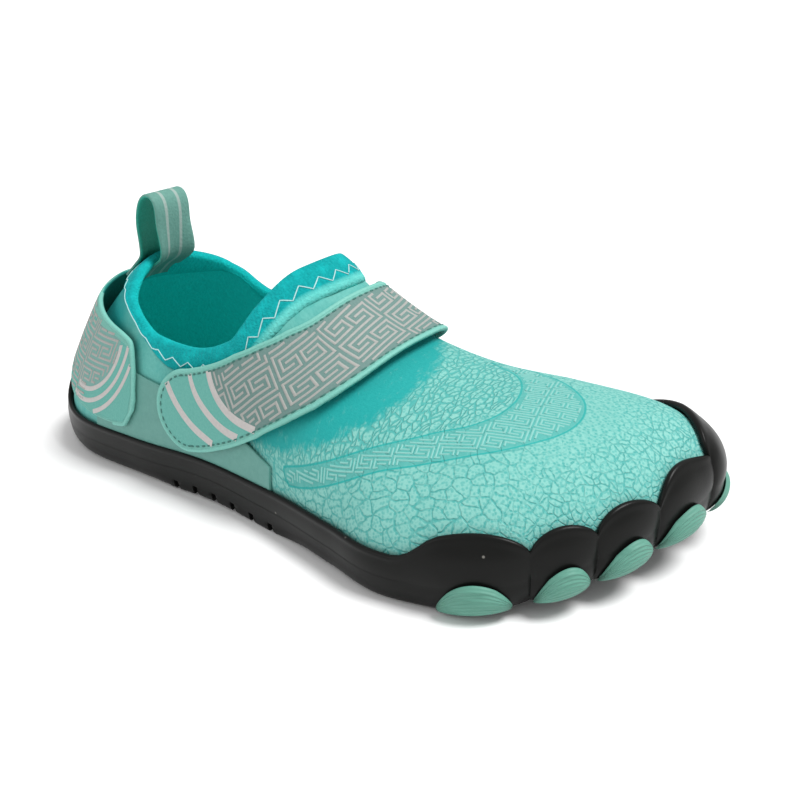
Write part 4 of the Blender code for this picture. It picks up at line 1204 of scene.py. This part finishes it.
def skin_at(flat):
    """Points and normals of the skin at unrolled places."""
    toe = at_share(TOE_PIVOT)
    ribs_here, reach = [], []
    for x, y in flat:
        if x <= toe:
            ribs_here.append(make_rib(x, 1.0 if y > ridge_y(x) else -1.0))
            reach.append(abs(y - ridge_y(x)))
        else:
            away = np.array([x - toe, y - ridge_y(toe)])
            size = np.linalg.norm(away)
            ribs_here.append(make_rib(toe, away[1] / size, away[0] / size))
            reach.append(size)
    rib = np.array(ribs_here)
    reach = np.array(reach)
    angles = np.linspace(math.pi / 2, 0, 60)
    line = skin(rib[:, None, :], angles)
    run = lengths(np.swapaxes(line, 0, 1)).T
    angle = np.array([np.interp(r, a, angles) for r, a in zip(reach, run)])
    step = 0.01
    point = skin(rib, angle)
    low = skin(rib, np.clip(angle - step, 0, math.pi / 2))
    high = skin(rib, np.clip(angle + step, 0, math.pi / 2))
    down = unit(low - high)
    forward = np.column_stack([-rib[:, 3], rib[:, 2], slope_along(rib, angle)])
    normal = unit(np.cross(down, unit(forward)))
    return point, normal * np.where(normal[:, 2:3] < 0, -1, 1)


def slope_along(rib, angle):
    """Rise of the skin per metre across each rib, to the rib's left."""
    moved = rib.copy()
    moved[:, 0] += -rib[:, 3] * 0.5 * MM
    moved[:, 1] += rib[:, 2] * 0.5 * MM
    return (skin(moved, angle)[:, 2] - skin(rib, angle)[:, 2]) / (0.5 * MM)


def build_upper():
    """The stretch upper: a thin shell with its printed face and its dark lining."""
    rib = fine_ribs(2.4 * MM, 5, 1.8)
    end = angle_at(rib, seam_height)
    angles = end[:, None] * np.linspace(0, 1, 46)
    grid = skin(rib[:, None, :], angles)
    whole = np.linspace(math.pi / 2, 0, 120)
    run = lengths(np.swapaxes(skin(rib[:, None, :], whole), 0, 1)).T
    far = np.array([np.interp(row, whole[::-1], one[::-1]) for row, one in zip(angles, run)])
    flat = rib[:, None, 0:2] + rib[:, None, 2:4] * far[..., None]
    outline = crescent_outline()
    crescent = inside_distance(flat.reshape(-1, 2), outline).reshape(flat.shape[:2]) / MM
    x, y = flat[..., 0], flat[..., 1]
    limit = np.interp(y / MM, *UNPRINTED_SHADE_EDGE.T) * MM
    inner_line = np.interp(y / MM, *INNER_EDGE.T) * MM
    around = np.where(rib[:, 3:4] < 0, -1.0, 1.0) * (1 - angles / (math.pi / 2))
    strap_line = strap_curve(80)
    behind = np.interp(around, strap_line[:, 1], strap_line[:, 0]) - grid[..., 0]
    above = smoothstep((around - strap_line[0, 1]) / 0.10)
    above = np.maximum(above, smoothstep((strap_line[0, 0] + 4 * MM - grid[..., 0]) / (4 * MM)))
    away_from_heel = smoothstep((grid[..., 0] + 72 * MM) / (14 * MM))
    mint = np.maximum(away_from_heel, smoothstep((38 * MM - grid[..., 2]) / (8 * MM)))
    rear = smoothstep(behind / (2 * MM) + 0.5) * mint * above
    ahead = np.exp(-(((x - 94 * MM) / (7 * MM)) ** 2) - (((y - 3 * MM) / (17 * MM)) ** 2))
    traits = {
        "flat": np.concatenate([flat, np.zeros((*flat.shape[:2], 1))], -1),
        "crescent": crescent,
        # cloth left unprinted under the strap, darkened there as a painted shadow of the strap
        "unprinted_strap_shade": 1 - smoothstep((x - limit) / UNPRINTED_SHADE_FADE + 0.5),
        "rear": rear,
        "inner": smoothstep((inner_line - x) / INNER_FADE + 0.5),
        "near_toe": smoothstep((x - TOE_PRINT_START) / TOE_PRINT_FADE),
        "plain": np.clip(ahead * 1.25, 0, 1),
    }
    faces = quads(len(grid), grid.shape[1], close_columns=True)
    upper = piece("upper_cloth", grid, faces, [PRINT, LINING], traits)
    face_out(upper)
    wall = upper.modifiers.new("wall", "SOLIDIFY")
    wall.thickness = UPPER_WALL
    wall.offset = -1
    wall.material_offset = wall.material_offset_rim = 1
    return upper


def face_out(obj):
    """Turns an open shell so that its faces look away from the inside of the foot."""
    inside = np.array([0.0, 0.0, SIDE_DIP_HEIGHT / 2])
    total = 0.0
    for face in obj.data.polygons:
        total += np.dot(np.array(face.normal), np.array(face.center) - inside) * face.area
    if total < 0:
        obj.data.flip_normals()


def edge_line(height, side, count):
    """A side-view line on the skin, from the crown in front to the heel's back: evenly spaced rows
    of the place along the foot and the angle on the rib there."""
    front = HEEL_ARC + front_of(height) - at_share(HEEL_PIVOT)
    travel = side * front * (1 - np.linspace(0, 1, 320) ** 2)
    travel[-1] = side * 1e-9
    rib = np.array([rib_at(t) for t in travel])
    angle = angle_at(rib, height)
    angle[0] = math.pi / 2
    run = lengths(skin(rib, angle))
    even = np.linspace(0, run[-1], count)
    return np.stack([np.interp(even, run, travel), np.interp(even, run, angle)], 1), run[-1]


def collar_grid():
    """The collar's skin as a closed grid: once round, and from the rim down to the seam."""
    count, rows = 130, 12
    halves = []
    for side in (-1.0, 1.0):
        rim, total = edge_line(rim_height, side, count)
        seam, _ = edge_line(seam_height, side, count)
        v = np.linspace(0, 1, rows)[None, :, None]
        place = rim[:, None] * (1 - v) + seam[:, None] * v
        rib = np.array([rib_at(t) for t in place[..., 0].ravel()]).reshape(count, rows, 7)
        halves.append(skin(rib, place[..., 1]))
    return np.concatenate([halves[0], halves[1][::-1][1:-1]]), total * 2


def build_collar():
    """The padded knit collar with its rounded rim, and the zigzag stitch round it."""
    grid, around = collar_grid()
    normal = outward_normals(grid, closed=True)
    normal = unit(normal + np.roll(normal, 1, axis=0) + np.roll(normal, -1, axis=0))
    columns, rows = grid.shape[:2]
    v = np.linspace(0, 1, rows)
    down = lengths(np.swapaxes(grid, 0, 1)).T
    depth = down[:, -1:]
    radius = (COLLAR_WALL + COLLAR_STEP) / 2
    puff = 0.55 * MM * np.sin(np.pi * np.clip(v, 0, 1)) ** 0.8
    lower = np.clip((v - 0.86) / 0.14, 0, 1)
    out = COLLAR_STEP + puff - 0.9 * COLLAR_STEP * lower**2
    fall = np.clip(radius / np.maximum(depth, 1e-6), 0, 0.6)
    place = fall + (1 - fall) * v[None, :]
    index = np.arange(columns)[:, None] * np.ones((1, rows))
    closed_grid = np.concatenate([grid, grid[:1]])
    closed_normal = np.concatenate([normal, normal[:1]])
    spots = on_grid(closed_grid, index, place * (rows - 1))
    normals = unit(on_grid(closed_normal, index, place * (rows - 1)))
    outer = spots + normals * out[None, :, None]
    inner = spots - normals * (COLLAR_WALL + 0.25 * MM * np.sin(np.pi * v))[None, :, None]
    up = unit(grid[:, 0] - spots[:, 1])
    middle = (COLLAR_STEP - COLLAR_WALL) / 2
    rim = []
    for turn in np.linspace(0, math.pi, 9)[1:-1]:
        shift = middle + radius * math.cos(turn)
        rim.append(spots[:, 0] + normals[:, 0] * shift + up * radius * math.sin(turn))
    ring = np.concatenate([outer[:, ::-1], np.stack(rim, 1), inner], 1)
    from_crown = np.minimum(np.arange(columns), columns - np.arange(columns))
    soften = (0.6 * np.exp(-((from_crown / CROWN_SOFTENING) ** 2)))[:, None, None]
    for _ in range(14):
        ring = ring + soften * ((np.roll(ring, 1, axis=0) + np.roll(ring, -1, axis=0)) / 2 - ring)
    outer = ring[:, :rows][:, ::-1]
    count = ring.shape[1]
    run = from_crown * around / columns
    inside = np.concatenate([np.zeros(rows), np.linspace(0, 1, 7) ** 2, np.ones(rows)])
    centre = on_grid(closed_grid, index, place * (rows - 1))[..., 0]
    mint = smoothstep((centre - at_share(0.40)) / (10 * MM)) * smoothstep((v[None, :] - 0.66) / 0.12)
    mint_ring = np.concatenate([mint[:, ::-1], np.zeros((columns, 7 + rows))], 1)
    traits = {
        "run": np.tile(run[:, None], (1, count)),
        "inside": np.tile(inside, (columns, 1)),
        "mint": mint_ring,
    }
    faces = quads(columns, count, close_columns=True, close_rows=True)
    collar = piece("collar_pad", ring, faces, [KNIT], traits, sharp=80)

    closed_out = np.concatenate([outer, outer[:1]])
    teeth = 2 * round(around / ZIGZAG_PERIOD)
    path, normals_there = [], []
    for tooth in range(teeth):
        swing = ZIGZAG_SWING * (-1) ** tooth
        for t in np.linspace(0, 1, 7)[:-1]:
            u = (tooth + t) / teeth * columns
            spot = (ZIGZAG_PLACE + swing * (1 - 2 * t)) * (rows - 1)
            path.append(on_grid(closed_out, u, spot))
            normals_there.append(on_grid(closed_normal, u, spot))
    normals_there = unit(np.array(normals_there))
    path = np.array(path) + normals_there * 0.12 * MM
    stitch = thread("collar_zigzag", [(path, normals_there)], 0.20 * MM, PALE_THREAD)
    stitch.parent = collar
    return collar, stitch


def build_insole():
    """The loose pad on the footbed."""
    rib = fine_ribs(5 * MM, 8, 4)
    margin = UPPER_WALL + 3 * GAP
    edge = rib_edge(rib) - rib[:, 5:7] * margin
    under = [(t, 1.5 * GAP) for t in (0.0, 0.5, 0.97)]
    rim = [(1.0, 0.5 * INSOLE_THICKNESS), (0.99, 0.85 * INSOLE_THICKNESS)]
    over = [(t, INSOLE_THICKNESS) for t in (0.97, 0.8, 0.5, 0.25, 0.0)]
    columns = []
    for t, high in (*under, *rim, *over):
        plan = rib[:, 0:2] + (edge - rib[:, 0:2]) * t
        columns.append(np.column_stack([plan, floor_height(plan[:, 0]) + high]))
    grid = np.stack(columns, 1)
    pad = piece("insole_pad", grid, quads(len(grid), grid.shape[1], close_columns=True), [INSOLE])
    return pad


def build_quarters():
    """A thin smooth sheet over each quarter."""
    made = []
    for name, node_name, side in (
        ("quarter_face_lateral", "quarter_lateral", -1.0),
        ("quarter_face_medial", "quarter_medial", 1.0),
    ):
        stations = np.linspace(at_share(QUARTER[0].x), at_share(QUARTER[-1].x) - QUARTER_TRIM, 60)
        rib = np.array([make_rib(x, side) for x in stations])
        low = rubber_top(rib) + 2 * GAP
        high = np.maximum(QUARTER_TOP(share(stations)) * SIDE_DIP_HEIGHT, low + 1 * MM)
        place = edge_steps(12, 0.03, 3)
        heights = low[:, None] + (high - low)[:, None] * (place + 1)[None, :] / 2
        grid = points_at_heights(rib, heights)
        normal = outward_normals(grid)
        half = QUARTER_WALL / 2 * np.tile(rounded(place, 0.03), (len(rib), 1))
        middle = grid + normal * (GAP + QUARTER_WALL / 2)
        sheet_made = band(name, middle, normal, half, [QUARTER_FACE], {})
        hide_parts(node_name)
        made.append(sheet_made)
    return made


def build_sling():
    """The heel sling with its fret, stripes and bright piping."""
    turn = np.linspace(-math.pi / 2, math.pi / 2, 150)
    around = 0.75 * np.sin(turn) + 0.25 * turn / (math.pi / 2)
    rib = np.array([rib_at(a * SLING_REACH) for a in around])
    low = np.maximum(SLING_BOTTOM(around) * HEEL_HEIGHT, rubber_top(rib) + 2 * GAP)
    high = np.maximum(SLING_TOP(around) * HEEL_HEIGHT, low + 1 * MM)
    place = edge_steps(24, 0.05, 4)
    up = (place + 1) / 2
    grid = points_at_heights(rib, low[:, None] + (high - low)[:, None] * up[None, :])
    normal = outward_normals(grid)
    back = np.clip(1 - np.abs(around) / 0.9, 0, 1)[:, None]
    start = 2 * GAP + QUARTER_WALL + SLING_STANDOFF * smoothstep(back * 1.5) * up[None, :] ** 1.5
    half = SLING_WALL / 2 * np.tile(rounded(place, 0.05), (len(rib), 1))
    middle = grid + normal * (start + SLING_WALL / 2)[..., None]
    run = around * SLING_REACH
    height = middle[..., 2]
    to_end = np.tile(np.abs(run)[:, None], (1, len(place)))
    radius = np.hypot(to_end - SLING_ARC.run, height - SLING_ARC.height)
    border = np.minimum(high[:, None] - height, height - low[:, None])
    border = np.minimum(border, SLING_REACH - to_end) / MM
    traits = {"arc": (SLING_ARC.radius - radius) / MM, "edge": border + 0.9}
    sling = band("sling_band", middle, normal, half, [SLING_WEB], traits)
    face = middle + normal * (half + 0.05 * MM)[..., None]

    def edges_at(flat):
        u = np.interp(flat[:, 0], run, np.arange(len(run)))
        return u, np.interp(u, np.arange(len(run)), low), np.interp(u, np.arange(len(run)), high)

    def clear_of_edges(flat, margin, end_margin):
        _, low_z, high_z = edges_at(flat)
        inside = (flat[:, 1] > low_z + margin) & (flat[:, 1] < high_z - margin)
        return inside & (np.abs(flat[:, 0]) < SLING_REACH - end_margin)

    def place_on(flat):
        u, low_z, high_z = edges_at(flat)
        share_up = np.clip((flat[:, 1] - low_z) / (high_z - low_z), 0, 1) * 2 - 1
        v = np.interp(share_up, place, np.arange(len(place)))
        return on_grid(face, u, v), unit(on_grid(normal, u, v))

    def allowed(flat):
        away = np.hypot(np.abs(flat[:, 0]) - SLING_ARC.run, flat[:, 1] - SLING_ARC.height)
        within = (away < SLING_ARC.radius - 1 * MM) | (np.abs(flat[:, 0]) < SLING_ARC.run)
        return clear_of_edges(flat, 1.5 * MM, 2.5 * MM) & within

    box = (-SLING_REACH, SLING_REACH, 15 * MM, 65 * MM)
    strokes = fret(box, FRET_PITCH, 0.0, allowed)
    lines = ribbons("sling_fret", strokes, place_on, FRET_LINE / 2, PRINT_LIFT, FRET_INK, LINE_STEP)
    stripes = []
    turn = np.linspace(-0.35, math.pi / 2 + 0.25, 60)
    for k in range(3):
        radius = SLING_ARC.radius + 0.4 * MM + SLING_STRIPE_PITCH * k
        for side in (-1.0, 1.0):
            along = side * (SLING_ARC.run + radius * np.sin(turn))
            path = np.stack([along, SLING_ARC.height - radius * np.cos(turn)], 1)
            good = clear_of_edges(path, 1.3 * MM, 1.6 * MM)
            if good.sum() >= 4:
                stripes += [(path[a], path[a + 1]) for a in np.flatnonzero(good[:-1] & good[1:])]
    half = SLING_STRIPE_WIDTH / 2
    marks = ribbons("sling_stripes", stripes, place_on, half, STRIPE_LIFT, STRIPE_INK, 3 * MM)
    last = len(place) - 1
    piping = []
    for side in (-1, 1):
        columns = np.flatnonzero(around * side > 0.30)[::side]
        spots = [(c, last) for c in columns]
        spots += [(columns[-1], k) for k in range(last - 1, 0, -3)]
        spots += [(c, 0) for c in columns[::-1][: len(columns) // 3]]
        u, v = np.array(spots).T
        piping.append((middle[u, v], normal[u, v]))
    cord = thread("sling_piping", piping, 0.85 * MM, PIPING, sides=8, flat=1.0)
    for part in (lines, marks, cord):
        part.parent = sling
    return sling, [lines, marks, cord]


def key_edges(reach):
    """Unit edges of the key pattern: pairs of lines wound into square hooks, two hooks to a tile."""
    edges = []
    for column in range(-reach // 10 - 1, reach // 10 + 2):
        for row in range(-reach // 5 - 1, reach // 5 + 2):
            shift = np.array([10 * column, 5 * row - column])
            for line in KEY_LINES:
                for a, b in zip(line[:-1], line[1:]):
                    a, b = np.array(a) + shift, np.array(b) + shift
                    steps = int(abs(b - a).max())
                    for k in range(steps):
                        edges.append((a + (b - a) * k // steps, a + (b - a) * (k + 1) // steps))
    return np.array(edges)


def fret(box, pitch, tilt, allowed):
    """Strokes of the key pattern inside a box, in metres on a flat surface, where allowed."""
    low_u, high_u, low_v, high_v = box
    middle = np.array([(low_u + high_u) / 2, (low_v + high_v) / 2])
    reach = int(math.hypot(high_u - low_u, high_v - low_v) / 2 / pitch) + 6
    edges = key_edges(reach)
    turned = np.array([[math.cos(tilt), -math.sin(tilt)], [math.sin(tilt), math.cos(tilt)]])
    ends = middle + (edges * pitch) @ turned.T
    flat = ends.reshape(-1, 2)
    good = (flat[:, 0] > low_u) & (flat[:, 0] < high_u) & (flat[:, 1] > low_v) & (flat[:, 1] < high_v)
    good[good] = allowed(flat[good])
    kept = good.reshape(-1, 2).all(axis=1)
    strokes = []
    for axis in (0, 1):
        lines = {}
        for a, b in edges[kept]:
            if a[1 - axis] == b[1 - axis]:
                lines.setdefault(int(a[1 - axis]), set()).add(int(min(a[axis], b[axis])))
        for fixed, starts in lines.items():
            start = None
            for place in sorted(starts):
                if place - 1 not in starts:
                    start = place
                if place + 1 not in starts:
                    pair = np.zeros((2, 2))
                    pair[:, axis] = (start, place + 1)
                    pair[:, 1 - axis] = fixed
                    strokes.append(middle + (pair * pitch) @ turned.T)
    return strokes


def strap_surface():
    """The strap's skin as a grid [along, across] of constant width, with its lengths along."""
    middle = strap_curve(150)
    centre = surface(middle[:, 0], middle[:, 1])
    run = lengths(centre)
    step_x, step_around = 1 * MM, 0.01
    by_x = (surface(middle[:, 0] + step_x, middle[:, 1]) - centre) / step_x
    inward = np.where(middle[:, 1] < 0, 1.0, -1.0) * step_around
    by_around = (surface(middle[:, 0], middle[:, 1] + inward) - centre) / inward[:, None]
    tangent = np.gradient(middle, axis=0)
    along = by_x * tangent[:, :1] + by_around * tangent[:, 1:]
    across = np.stack([-(along * by_around).sum(1), (along * by_x).sum(1)], 1)
    size = np.linalg.norm(by_x * across[:, :1] + by_around * across[:, 1:], axis=1, keepdims=True)
    across /= size
    offsets = np.linspace(-1, 1, 25)
    grid = np.stack([surface(*(middle + across * STRAP_WIDTH / 2 * k).T) for k in offsets], 1)
    bridge = STRAP_LIFT * np.exp(-((middle[:, 1] / STRAP_LIFT_SPREAD) ** 2))
    start = STRAP_GAPS * GAP + QUARTER_WALL + bridge
    return grid, run, offsets, start


def build_strap():
    """The strap with its bound and stitched edges, its fret and the stripes at its rounded end."""
    skin_grid, run, offsets, start = strap_surface()
    normal_grid = unit(outward_normals(skin_grid))
    half_width = STRAP_WIDTH / 2
    total = run[-1]
    bend = np.linspace(0, 1, 40)
    round_end = half_width * (1 - np.cos(bend * math.pi / 2))
    columns = np.concatenate([round_end, np.linspace(half_width, total, 130)[1:]])
    place = edge_steps(24, 0.06, 4)
    left = np.clip(1 - columns / half_width, 0, 1)
    width = np.sqrt(np.clip(1 - left**2, 0.0004, 1))
    u = np.interp(columns, run, np.arange(len(run)))[:, None] * np.ones(len(place))
    w = width[:, None] * place[None, :]
    v = (w + 1) / 2 * (len(offsets) - 1)
    points, normal = on_grid(skin_grid, u, v), unit(on_grid(normal_grid, u, v))
    stand = np.interp(columns, run, start)[:, None]
    thick_end = np.sqrt(np.clip(1 - np.clip(1 - columns / (0.8 * MM), 0, 1) ** 2, 0.02, 1))
    half = STRAP_WALL / 2 * rounded(place, 0.06)[None, :] * thick_end[:, None]
    wave = 0.25 * MM * np.sin(columns / (11 * MM))[:, None] * np.abs(place)[None, :] ** 3
    middle = points + normal * (stand + STRAP_WALL / 2 + wave)[..., None]
    far_in = (width * half_width)[:, None] * (1 - np.abs(place))[None, :]
    in_round_end = columns[:, None] < half_width
    to_arc = half_width - np.hypot(columns[:, None] - half_width, w * half_width)
    to_corner = np.where(in_round_end, to_arc, far_in)
    edge = np.minimum(far_in, np.maximum(to_corner, 0)) / MM
    arc = columns[:, None] / MM - stripe_place(STRIPES[-1], w * half_width / MM)
    traits = {"edge": edge, "arc": arc}
    strap = band("strap_band", middle, normal, half, [WEB], traits)

    def place_on(flat):
        column = np.interp(flat[:, 0], run, np.arange(len(run)))
        row = (np.clip(flat[:, 1] / half_width, -1, 1) + 1) / 2 * (len(offsets) - 1)
        points_here = on_grid(skin_grid, column, row)
        normals_here = unit(on_grid(normal_grid, column, row))
        stand_here = np.interp(flat[:, 0], run, start) + STRAP_WALL
        stand_here += 0.25 * MM * np.sin(flat[:, 0] / (11 * MM)) * np.abs(flat[:, 1] / half_width) ** 3
        return points_here + normals_here * stand_here[:, None], normals_here

    def allowed(flat):
        past = flat[:, 0] / MM - stripe_place(STRIPES[-1], flat[:, 1] / MM)
        return (np.abs(flat[:, 1]) < half_width - 3.0 * MM) & (past > 1.6)

    box = (8 * MM, total - 2 * MM, -half_width, half_width)
    strokes = fret(box, FRET_PITCH, STRAP_FRET_TILT, allowed)
    lines = ribbons("strap_fret", strokes, place_on, FRET_LINE / 2, PRINT_LIFT, FRET_INK, LINE_STEP)
    stripes = []
    for stripe in STRIPES:
        across = np.linspace(-1, 1, 60) * (half_width - 3.1 * MM)
        along = stripe_place(stripe, across / MM) * MM
        path = np.stack([along, across], 1)
        corner = half_width - np.hypot(np.minimum(along - half_width, 0), across)
        good = np.flatnonzero(corner > 2.9 * MM)
        for a, b in zip(good[:-1], good[1:]):
            stripes.append((path[a], path[b]))
    marks = ribbons("strap_stripes", stripes, place_on, STRIPE_WIDTH / 2, 0.07 * MM, STRIPE_INK, 3 * MM)

    seam_half = half_width - SEAM_INSET
    seam_end = total - 3 * MM
    border = [(t, -seam_half, 1.0, 0.0) for t in np.arange(seam_end, half_width, -STITCH_PITCH)]
    for t in np.arange(-math.pi / 2, math.pi / 2, STITCH_PITCH / seam_half):
        across, along = math.sin(t), math.cos(t)
        border.append((half_width - seam_half * along, seam_half * across, across, along))
    border += [(t, seam_half, 1.0, 0.0) for t in np.arange(half_width, seam_end, STITCH_PITCH)]
    stitches = []
    steps = np.linspace(-0.5, 0.5, 5)[:, None]
    stretch = steps * STITCH_PITCH * STITCH_SHARE
    for x, y, dx, dy in border:
        path, where = place_on(np.array([x, y]) + stretch * np.array([dx, dy]))
        lift = (0.06 - 0.22 * (2 * steps) ** 2) * MM
        stitches.append((path + where * lift, where))
    seam = thread("strap_stitches", stitches, 0.28 * MM, DARK_THREAD, sides=6)
    hem_half = half_width - HEM_INSET
    t = np.linspace(half_width, total - 1 * MM, 140)
    turn = np.linspace(-math.pi / 2, math.pi / 2, 60)
    flat_hems = [np.stack([t, np.full_like(t, side * hem_half)], 1) for side in (-1.0, 1.0)]
    flat_hems.append(np.stack([half_width - hem_half * np.cos(turn), hem_half * np.sin(turn)], 1))
    placed = [place_on(flat) for flat in flat_hems]
    hem = [(path - where * 0.35 * MM, where) for path, where in placed]
    binding = thread("strap_binding", hem, 0.75 * MM, PIPING, sides=10, flat=0.8)
    for part in (lines, marks, seam, binding):
        part.parent = strap
    return strap, [lines, marks, seam, binding]


def stripe_place(stripe, across):
    """How far from the strap's end a stripe is, in mm, at a place across the strap in mm."""
    down = (1 - np.asarray(across) * MM / (STRAP_WIDTH / 2)) / 2
    return stripe.upper + (stripe.lower - stripe.upper) * down - 4 * STRIPE_BOW * down * (1 - down)


def build_pull_loop():
    """The pull loop with two pale stripes along its outer face."""
    middle_y = ridge_y(at_share(HEEL_PIVOT))
    across = np.concatenate([[-1, -0.97], np.linspace(-0.92, 0.92, 15), [0.97, 1]])
    y = middle_y + LOOP_WIDTH / 2 * across
    top = HEEL_HEIGHT
    for _ in range(6):
        top = float(rim_height(heel_profile(middle_y, np.array([top]))[0]))
    levels = top - LOOP_TAIL * np.linspace(1.0, 0.12, 9)
    wall = heel_profile(y, levels)
    tilt = heel_tilt(y, levels)
    back = wall - LOOP_BACK_GAPS * (COLLAR_STEP + GAP) / np.cos(tilt)[:, None]
    over = levels
    for _ in range(4):
        tilt = heel_tilt(y, over)
        over = levels + COLLAR_WALL * np.sin(tilt)
    front_gap = COLLAR_WALL * np.cos(tilt) + LOOP_FRONT_GAPS * GAP / np.cos(tilt)
    front = heel_profile(y, over) + front_gap[:, None]
    front -= (LOOP_TUCK * smoothstep((top - levels) / (3.5 * MM)))[:, None]
    turn = np.linspace(0, math.pi, 49)[:, None]
    bow_z = top + (LOOP_HEIGHT - LOOP_WALL) * np.sin(turn) ** 0.8
    centre = len(across) // 2
    bend = (wall[-1] - wall[-1, centre])[None, :] * (1 - smoothstep((bow_z - top) / (0.6 * LOOP_HEIGHT)))
    middle_x = (back[-1, centre] + front[-1, centre]) / 2
    half = (front[-1, centre] - back[-1, centre]) / 2
    swell = (LOOP_DEPTH / 2 - LOOP_WALL - half) * np.sin(turn) ** 2
    lean = LOOP_LEAN * ((bow_z - top) / LOOP_HEIGHT)
    bow_x = middle_x + lean + bend - (half + swell) * np.cos(turn)
    x = np.vstack([back, bow_x, front[::-1]])
    count = len(across)
    rows_z = (levels[:, None], bow_z, levels[::-1, None])
    z = np.vstack([np.tile(row, count) for row in rows_z])
    inner = np.stack([x, np.tile(y, (len(x), 1)), z], -1)
    for _ in range(3):
        inner[1:-1] = (inner[:-2] + 2 * inner[1:-1] + inner[2:]) / 4
    along, side = np.gradient(inner, axis=0), np.gradient(inner, axis=1)
    normal = unit(np.cross(along, side))
    normal *= -np.sign(normal[0, centre, 0])
    half_wall = LOOP_WALL / 2 * np.tile(rounded(across, 0.08), (len(x), 1))
    middle = inner + normal * LOOP_WALL / 2
    traits = {"across": np.tile(across, (len(x), 1))}
    return band("pull_strip", middle, normal, np.maximum(half_wall, 0.12 * MM), [LOOP_WEB], traits)


def build_vamp_fret():
    """The raised fret lines in the printed crescent; the lines along its edges are in the upper's print."""
    outline = crescent_outline()

    def allowed(flat):
        return inside_distance(flat, outline) > 0.9 * MM

    low, high = outline.min(axis=0), outline.max(axis=0)
    box = (low[0], high[0], low[1], high[1])
    strokes = fret(box, VAMP_PITCH, VAMP_FRET_TILT, allowed)
    return ribbons("vamp_fret", strokes, skin_at, VAMP_LINE / 2, 0.11 * MM, VAMP_INK, 1.6 * MM)


def paint_floor():
    floor_look = finish("floor", speckled((0.90, 0.90, 0.90), (0.93, 0.93, 0.93), 3), 0.75)
    corners = ((-1, -1), (1, -1), (1, 1), (-1, 1))
    points = [(x * FLOOR_SIZE, y * FLOOR_SIZE, FLOOR_DROP) for x, y in corners]
    floor = piece("floor", points, [(0, 1, 2, 3)], [floor_look], weld=False)


def studio_light(name, kind, place, aim, power, **settings):
    light = bpy.data.lights.new(name, kind)
    light.energy = power
    for key, value in settings.items():
        setattr(light, key, value)
    obj = bpy.data.objects.new(name, light)
    bpy.context.scene.collection.objects.link(obj)
    obj.location = place
    obj.rotation_euler = (Vector(aim) - Vector(place)).to_track_quat("-Z", "Y").to_euler()
    return obj


def light_scene():
    world = bpy.data.worlds.new("studio")
    bpy.context.scene.world = world
    world.use_nodes = True
    background = world.node_tree.nodes["Background"].inputs
    background["Color"].default_value = (1.0, 1.0, 1.0, 1.0)
    background["Strength"].default_value = SKY_LIGHT
    spread = math.radians(KEY_SPREAD)
    studio_light("key", "SUN", (1.35, 0.45, 2.55), (0.02, 0, 0.02), KEY_POWER, angle=spread)
    studio_light("fill", "AREA", (-1.8, -2.4, 1.5), (0, 0, 0.03), FILL_POWER, shape="DISK", size=2.4)
    bpy.context.scene.view_settings.view_transform = "Standard"


def place_camera():
    """Looks down on the lateral side from ahead of the middle, rolled a little, as in the photo."""
    camera = bpy.data.objects.new("camera", bpy.data.cameras.new("camera"))
    bpy.context.scene.collection.objects.link(camera)
    camera.data.sensor_width = 36.0
    camera.data.lens = CAMERA_LENS
    camera.data.clip_start = 0.01
    angles = (CAMERA_AZIMUTH, CAMERA_ELEVATION, CAMERA_ROLL)
    azimuth, elevation, roll = (math.radians(a) for a in angles)
    level = Vector((math.sin(azimuth), -math.cos(azimuth), 0.0))
    back = level * math.cos(elevation) + Vector((0.0, 0.0, math.sin(elevation)))
    right = Vector((math.cos(azimuth), math.sin(azimuth), 0.0))
    up = back.cross(right)
    rolled_right = right * math.cos(roll) + up * math.sin(roll)
    rolled_up = up * math.cos(roll) - right * math.sin(roll)
    turn = Matrix((rolled_right, rolled_up, back)).transposed()
    camera.matrix_world = Matrix.Translation(CAMERA_PLACE) @ turn.to_4x4()
    bpy.context.scene.camera = camera


def main():
    place_camera()
    light_scene()
    paint_floor()
    whole = []
    sole = build_sole()
    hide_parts("outsole")
    whole.append((sole, "black_rubber"))
    whole += [(pod, "mint_rubber") for pod in build_pods()]
    upper = build_upper()
    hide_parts("upper")
    whole.append((upper, "printed_stretch"))
    crest = build_vamp_fret()
    crest.parent = upper
    whole.append((crest, "printed_stretch"))
    collar, zigzag = build_collar()
    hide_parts("collar")
    whole += [(collar, "collar_knit"), (zigzag, "collar_knit")]
    pad = build_insole()
    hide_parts("insole")
    whole.append((pad, "insole_cloth"))
    whole += [(quarter, "quarter_sheet") for quarter in build_quarters()]
    sling, sling_parts = build_sling()
    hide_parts("heel_sling")
    strap, strap_parts = build_strap()
    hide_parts("strap")
    loop = build_pull_loop()
    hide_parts("pull_loop")
    whole += [(one, "woven_strap") for one in (sling, *sling_parts, strap, *strap_parts, loop)]
    for obj, slot_name in whole:
        if obj.parent is None:
            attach(obj, "root")
    bpy.context.view_layer.update()


main()
